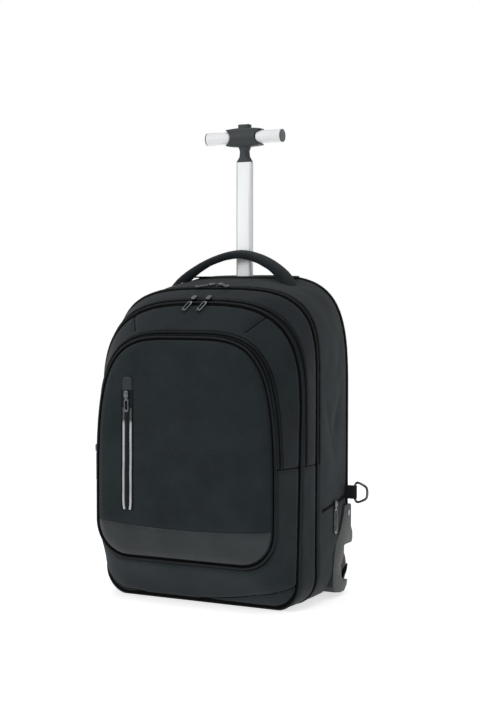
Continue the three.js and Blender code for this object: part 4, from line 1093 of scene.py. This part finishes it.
def backPlace(u, v):
    size = 1 - v
    x, z = seamPoint(seams["back"], u)
    middle = bagSizes["height"] / 2
    shrink = 1 - backSizes["inset"] * 2 / bagSizes["width"]
    px = x * shrink * size
    pz = middle + (z - middle) * (1 - backSizes["inset"] * 2 / bagSizes["height"]) * size
    rise = backSizes["crown"] * (1 - size ** 4)
    fromChannel = (abs(px) - backSizes["channelAt"]) / backSizes["channelSpread"]
    channel = -backSizes["channel"] * math.exp(-fromChannel ** 2) * min(1, max(0, (1 - size) * 6))
    return Vector((px, backY + rise + channel + noiseAt((px, 0, pz), 60, 51) * 0.6, pz))


backPad = laidOut("backPanelPad", backSizes["along"], backSizes["rings"], backPlace, [meshFabric])
faceOut(backPad, (0, 0, 0.25))
finishWith(backPad, "SOLIDIFY", thickness=backSizes["thickness"] * mm, offset=-1, use_even_offset=False)
puffed(backPad, padSizes["voxel"], padSizes["pressure"], padSizes["cap"])
for end in sides:
    carve(backPad, nodeCutter(f"wheel_housing_{end}", 0.5))
finished(smooth(backPad, 60), None, "bag", "back_mesh", "back_panel")
print("back panel made")


# Wheels
def lathed(name, profile, segments, start, stop):
    # A turned piece on an axis along X; each profile row is a share of its length and a radius
    around, rows = segments, len(profile)

    def place(u, v):
        share, radius = profile[min(rows - 1, round(u * (rows - 1)))]
        angle = 2 * math.pi * v
        middle = start + (stop - start) * share
        return middle + Vector((0, math.cos(angle) * radius, math.sin(angle) * radius))

    return smooth(laidOut(name, rows - 1, around, place, []), 40)


def spanOf(node, side):
    low, high = (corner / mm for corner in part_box(node))
    middle = (low + high) / 2
    inner, outer = (high.x, low.x) if side < 0 else (low.x, high.x)
    return Vector((inner, middle.y, middle.z)), Vector((outer, middle.y, middle.z)), (high.z - low.z) / 2


screwSizes = {"height": 124, "behind": 17, "radius": 3.2, "stretch": 1.5, "proud": 1.0, "depth": 2.0,
              "slot": 0.7,
              "slotFloor": 0.4, "slotLength": 14, "bevel": 0.35}


def screwOn(end, side):
    # A slotted oblong head that stands a little proud of the housing's outer face
    housing = bpy.data.objects[f"wheelHousing.{end}"]
    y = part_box(f"wheel_housing_{end}")[1].y - screwSizes["behind"] * mm
    tree = BVHTree.FromObject(housing, bpy.context.evaluated_depsgraph_get())
    hit = tree.ray_cast(Vector((side * 0.3, y, screwSizes["height"] * mm)), Vector((-side, 0, 0)))[0]
    sink = screwSizes["proud"] - screwSizes["depth"] / 2
    clearSelection()
    bpy.ops.mesh.primitive_cylinder_add(vertices=40, radius=screwSizes["radius"] * mm,
                                        depth=screwSizes["depth"] * mm, rotation=(0, math.pi / 2, 0),
                                        location=(hit.x + side * sink * mm, hit.y, hit.z))
    head = added(f"housingScrew.{end}")
    head.scale = (screwSizes["stretch"], 1, 1)
    settle(head)
    middle = hit / mm + Vector((side * (screwSizes["slotFloor"] + 1.2), 0, 0))
    room = Vector((1.2, screwSizes["slot"] / 2, screwSizes["slotLength"] / 2))
    carve(head, boxCutter(middle - room, middle + room))
    finishWith(head, "BEVEL", width=screwSizes["bevel"] * mm, segments=2, limit_method="ANGLE",
               angle_limit=math.radians(40))
    finished(smooth(head, 35), turnedSteel, "bag", "steel")


wheelSizes = {"bore": 19.3, "groove": 1.2, "segments": 96}
for end, side in sides.items():
    start, stop, radius = spanOf(f"tyre_{end}", side)
    bore, groove = wheelSizes["bore"], wheelSizes["groove"]
    tyre = lathed(f"tyre.{end}", [
        (0, bore), (0, radius - 4.2), (0.03, radius - 2.6), (0.1, radius - 1.1), (0.22, radius - 0.2),
        (0.3, radius),
        (0.32, radius), (0.34, radius - groove), (0.4, radius - groove), (0.42, radius), (0.58, radius),
        (0.6, radius - groove), (0.66, radius - groove), (0.68, radius), (0.7, radius),
        (0.78, radius - 0.2),
        (0.9, radius - 1.1), (0.97, radius - 2.6), (1, radius - 4.2), (1, bore), (0, bore)],
        wheelSizes["segments"], start, stop)
    finished(tyre, tyreRubber, f"wheel_{end}", "tyre", f"tyre_{end}")
    start, stop, radius = spanOf(f"wheel_hub_{end}", side)
    hub = lathed(f"wheelHub.{end}", [
        (0, 4.3), (0, 8), (0.15, 8.3), (0.17, 9.2), (0.17, 15), (0.14, 16), (0.01, 16.4), (0, 17),
        (0, radius - 0.3),
        (0.02, radius), (0.98, radius), (1, radius - 0.3), (1, 17), (0.99, 16.4), (0.86, 16), (0.83, 15),
        (0.83, 9.2), (0.85, 8.3), (1, 8), (1, 4.3), (0, 4.3)], wheelSizes["segments"], start, stop)
    finished(hub, wheelPlastic, f"wheel_{end}", "wheel_plastic", f"wheel_hub_{end}")
    dressed(f"axle_{end}", f"axle.{end}", turnedSteel, "bag", "steel", 0.3, 2)
    dressed(f"wheel_housing_{end}", f"wheelHousing.{end}", housingPlastic, "bag", "housing_plastic", 1.1, 3)
    screwOn(end, side)
print("wheels made")


# T-handle
handleSizes = {"voxel": 0.8, "softening": 8, "gripSegments": 64}


def softened(node, name, voxel, repeats, material, body, slot):
    # Remeshed and smoothed, so that moulded edges run into each other softly
    piece = copyOf(node, name)
    pick(piece)
    piece.data.remesh_voxel_size = voxel * mm
    bpy.ops.object.voxel_remesh()
    finishWith(piece, "SMOOTH", factor=0.5, iterations=repeats)
    return finished(smooth(piece), material, body, slot, node)


softened("handle_hub", "handleHub", handleSizes["voxel"], handleSizes["softening"], hubPlastic, "trolley",
         "hub_plastic")
for end, side in sides.items():
    start, stop, radius = spanOf(f"grip_{end}", side)
    grip = lathed(f"grip.{end}", [(0, 0), (0, radius - 2.5), (0.02, radius - 1.2), (0.06, radius - 0.25),
                                  (0.12, radius - 0.12), (0.5, radius - 0.45), (0.9, radius - 0.05),
                                  (0.97, radius), (0.985, radius - 0.1), (1, radius - 0.5), (1, 0)],
                  handleSizes["gripSegments"], start, stop)
    finished(grip, gripPlastic, "trolley", "grip_plastic", f"grip_{end}")
    start, stop, radius = spanOf(f"end_cap_{end}", side)
    cap = lathed(f"endCap.{end}", [(0, 0), (0, radius), (0.35, radius), (0.75, radius - 0.35),
                                   (1, radius - 1.4),
                                   (0.93, radius - 2.2), (0.93, 2.2), (1, 1.6), (1, 0)],
                 handleSizes["gripSegments"], start, stop)
    finished(cap, capPlastic, "trolley", "cap_plastic", f"end_cap_{end}")
dressed("push_button", "pushButton", hubPlastic, "button", "hub_plastic", 1.2, 4)


def ovalTube(name, node, wall, segments):
    # A drawn tube with flat sides, round ends and softened mouths
    low, high = (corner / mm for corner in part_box(node))
    width, depth = high.x - low.x, high.y - low.y
    middle = (low + high) / 2
    straight = width / 2 - depth / 2
    heights = [low.z, low.z + 0.3, high.z - 0.3, high.z]
    rings = [(z, 0.2 if i in (0, 3) else 0) for i, z in enumerate(heights)]
    rings += [(z, wall - (0.2 if i in (0, 3) else 0)) for i, z in reversed(list(enumerate(heights)))]
    count = len(rings)

    def place(u, v):
        z, inset = rings[round(u * count) % count]
        angle = 2 * math.pi * v
        radius = depth / 2 - inset
        x = math.copysign(straight, math.cos(angle)) + radius * math.cos(angle)
        return Vector((middle.x + x, middle.y + radius * math.sin(angle), z))

    return smooth(laidOut(name, count, segments, place, []), 40)


finished(ovalTube("handleTube", "trolley_tube", 1.2, 66), tubeAluminium, "trolley", "aluminium",
         "trolley_tube")
finished(ovalTube("handleGuide", "trolley_sleeve", 1.6, 66), tubeAluminium, "bag", "aluminium",
         "trolley_sleeve")
dressed("trolley_tray", "handleTray", hubPlastic, "bag", "hub_plastic", 0.5, 3)
print("T-handle made")


# Camera, floor and lights
stageSizes = {"floor": 9.0, "floorDrop": 0.5, "cameraRight": 977.5, "cameraAhead": 1968.983,
              "cameraHeight": 458.3,
              "pitch": 87.37, "azimuth": 26.793, "lens": 68.6, "diffuseDimming": 0.66, "glossDimming": 0.3,
              "floorGlow": 0.65}
cameraData = bpy.data.cameras.new("studioCamera")
cameraData.lens = stageSizes["lens"]
cameraData.sensor_width = 36
camera = bpy.data.objects.new("studioCamera", cameraData)
camera.location = Vector((stageSizes["cameraRight"], backY - stageSizes["cameraAhead"],
                          stageSizes["cameraHeight"])) * mm
camera.rotation_euler = (math.radians(stageSizes["pitch"]), 0, math.radians(stageSizes["azimuth"]))
bpy.context.scene.collection.objects.link(camera)
bpy.context.scene.camera = camera

clearSelection()
bpy.ops.mesh.primitive_grid_add(x_subdivisions=2, y_subdivisions=2, size=stageSizes["floor"],
                                location=(0, 0, -stageSizes["floorDrop"] * mm))
floor = settle(added("studioFloor"))
paper, paperTree, paperShader, _ = startMaterial("seamlessPaper", Roughness=0.9)
paperShader.inputs["Base Color"].default_value = colourOf("#f4f4f4")
paperShader.inputs["Emission Color"].default_value = colourOf("#ffffff")
paperShader.inputs["Emission Strength"].default_value = stageSizes["floorGlow"]
floor.data.materials.append(paper)

world = bpy.data.worlds.new("studioWorld")
world.use_nodes = True
skyTree = world.node_tree
skyTree.nodes["Background"].inputs["Color"].default_value = colourOf("#ffffff")
# The camera sees white paper all round, and the bag is lit by a dimmer room
rays = addNode(skyTree, "ShaderNodeLightPath").outputs
dimmed = addNode(skyTree, "ShaderNodeMath",
                 {"operation": "MULTIPLY_ADD", 1: -stageSizes["diffuseDimming"], 2: 1.0},
                 {0: rays["Is Diffuse Ray"]}).outputs[0]
mirrored = addNode(skyTree, "ShaderNodeMath", {"operation": "MULTIPLY_ADD", 1: -stageSizes["glossDimming"]},
                   {0: rays["Is Glossy Ray"], 2: dimmed}).outputs[0]
skyTree.links.new(mirrored, skyTree.nodes["Background"].inputs["Strength"])
bpy.context.scene.world = world
bpy.context.scene.view_settings.view_transform = "Standard"

softBoxes = {
    "overhead": {"place": (0.1, -0.5, 2.3), "size": 1.8, "power": 17},
    "frontLeft": {"place": (-1.6, -2.2, 1.5), "size": 1.4, "power": 14},
    "right": {"place": (2.4, -0.6, 1.2), "size": 1.4, "power": 1.5},
}
for lightName, box in softBoxes.items():
    lightData = bpy.data.lights.new(lightName, "AREA")
    lightData.shape = "SQUARE"
    lightData.size = box["size"]
    lightData.energy = box["power"]
    light = bpy.data.objects.new(lightName, lightData)
    light.location = box["place"]
    aim = Vector((0, 0, 0.3)) - Vector(box["place"])
    light.rotation_euler = aim.to_track_quat("-Z", "Y").to_euler()
    bpy.context.scene.collection.objects.link(light)
print("stage made")
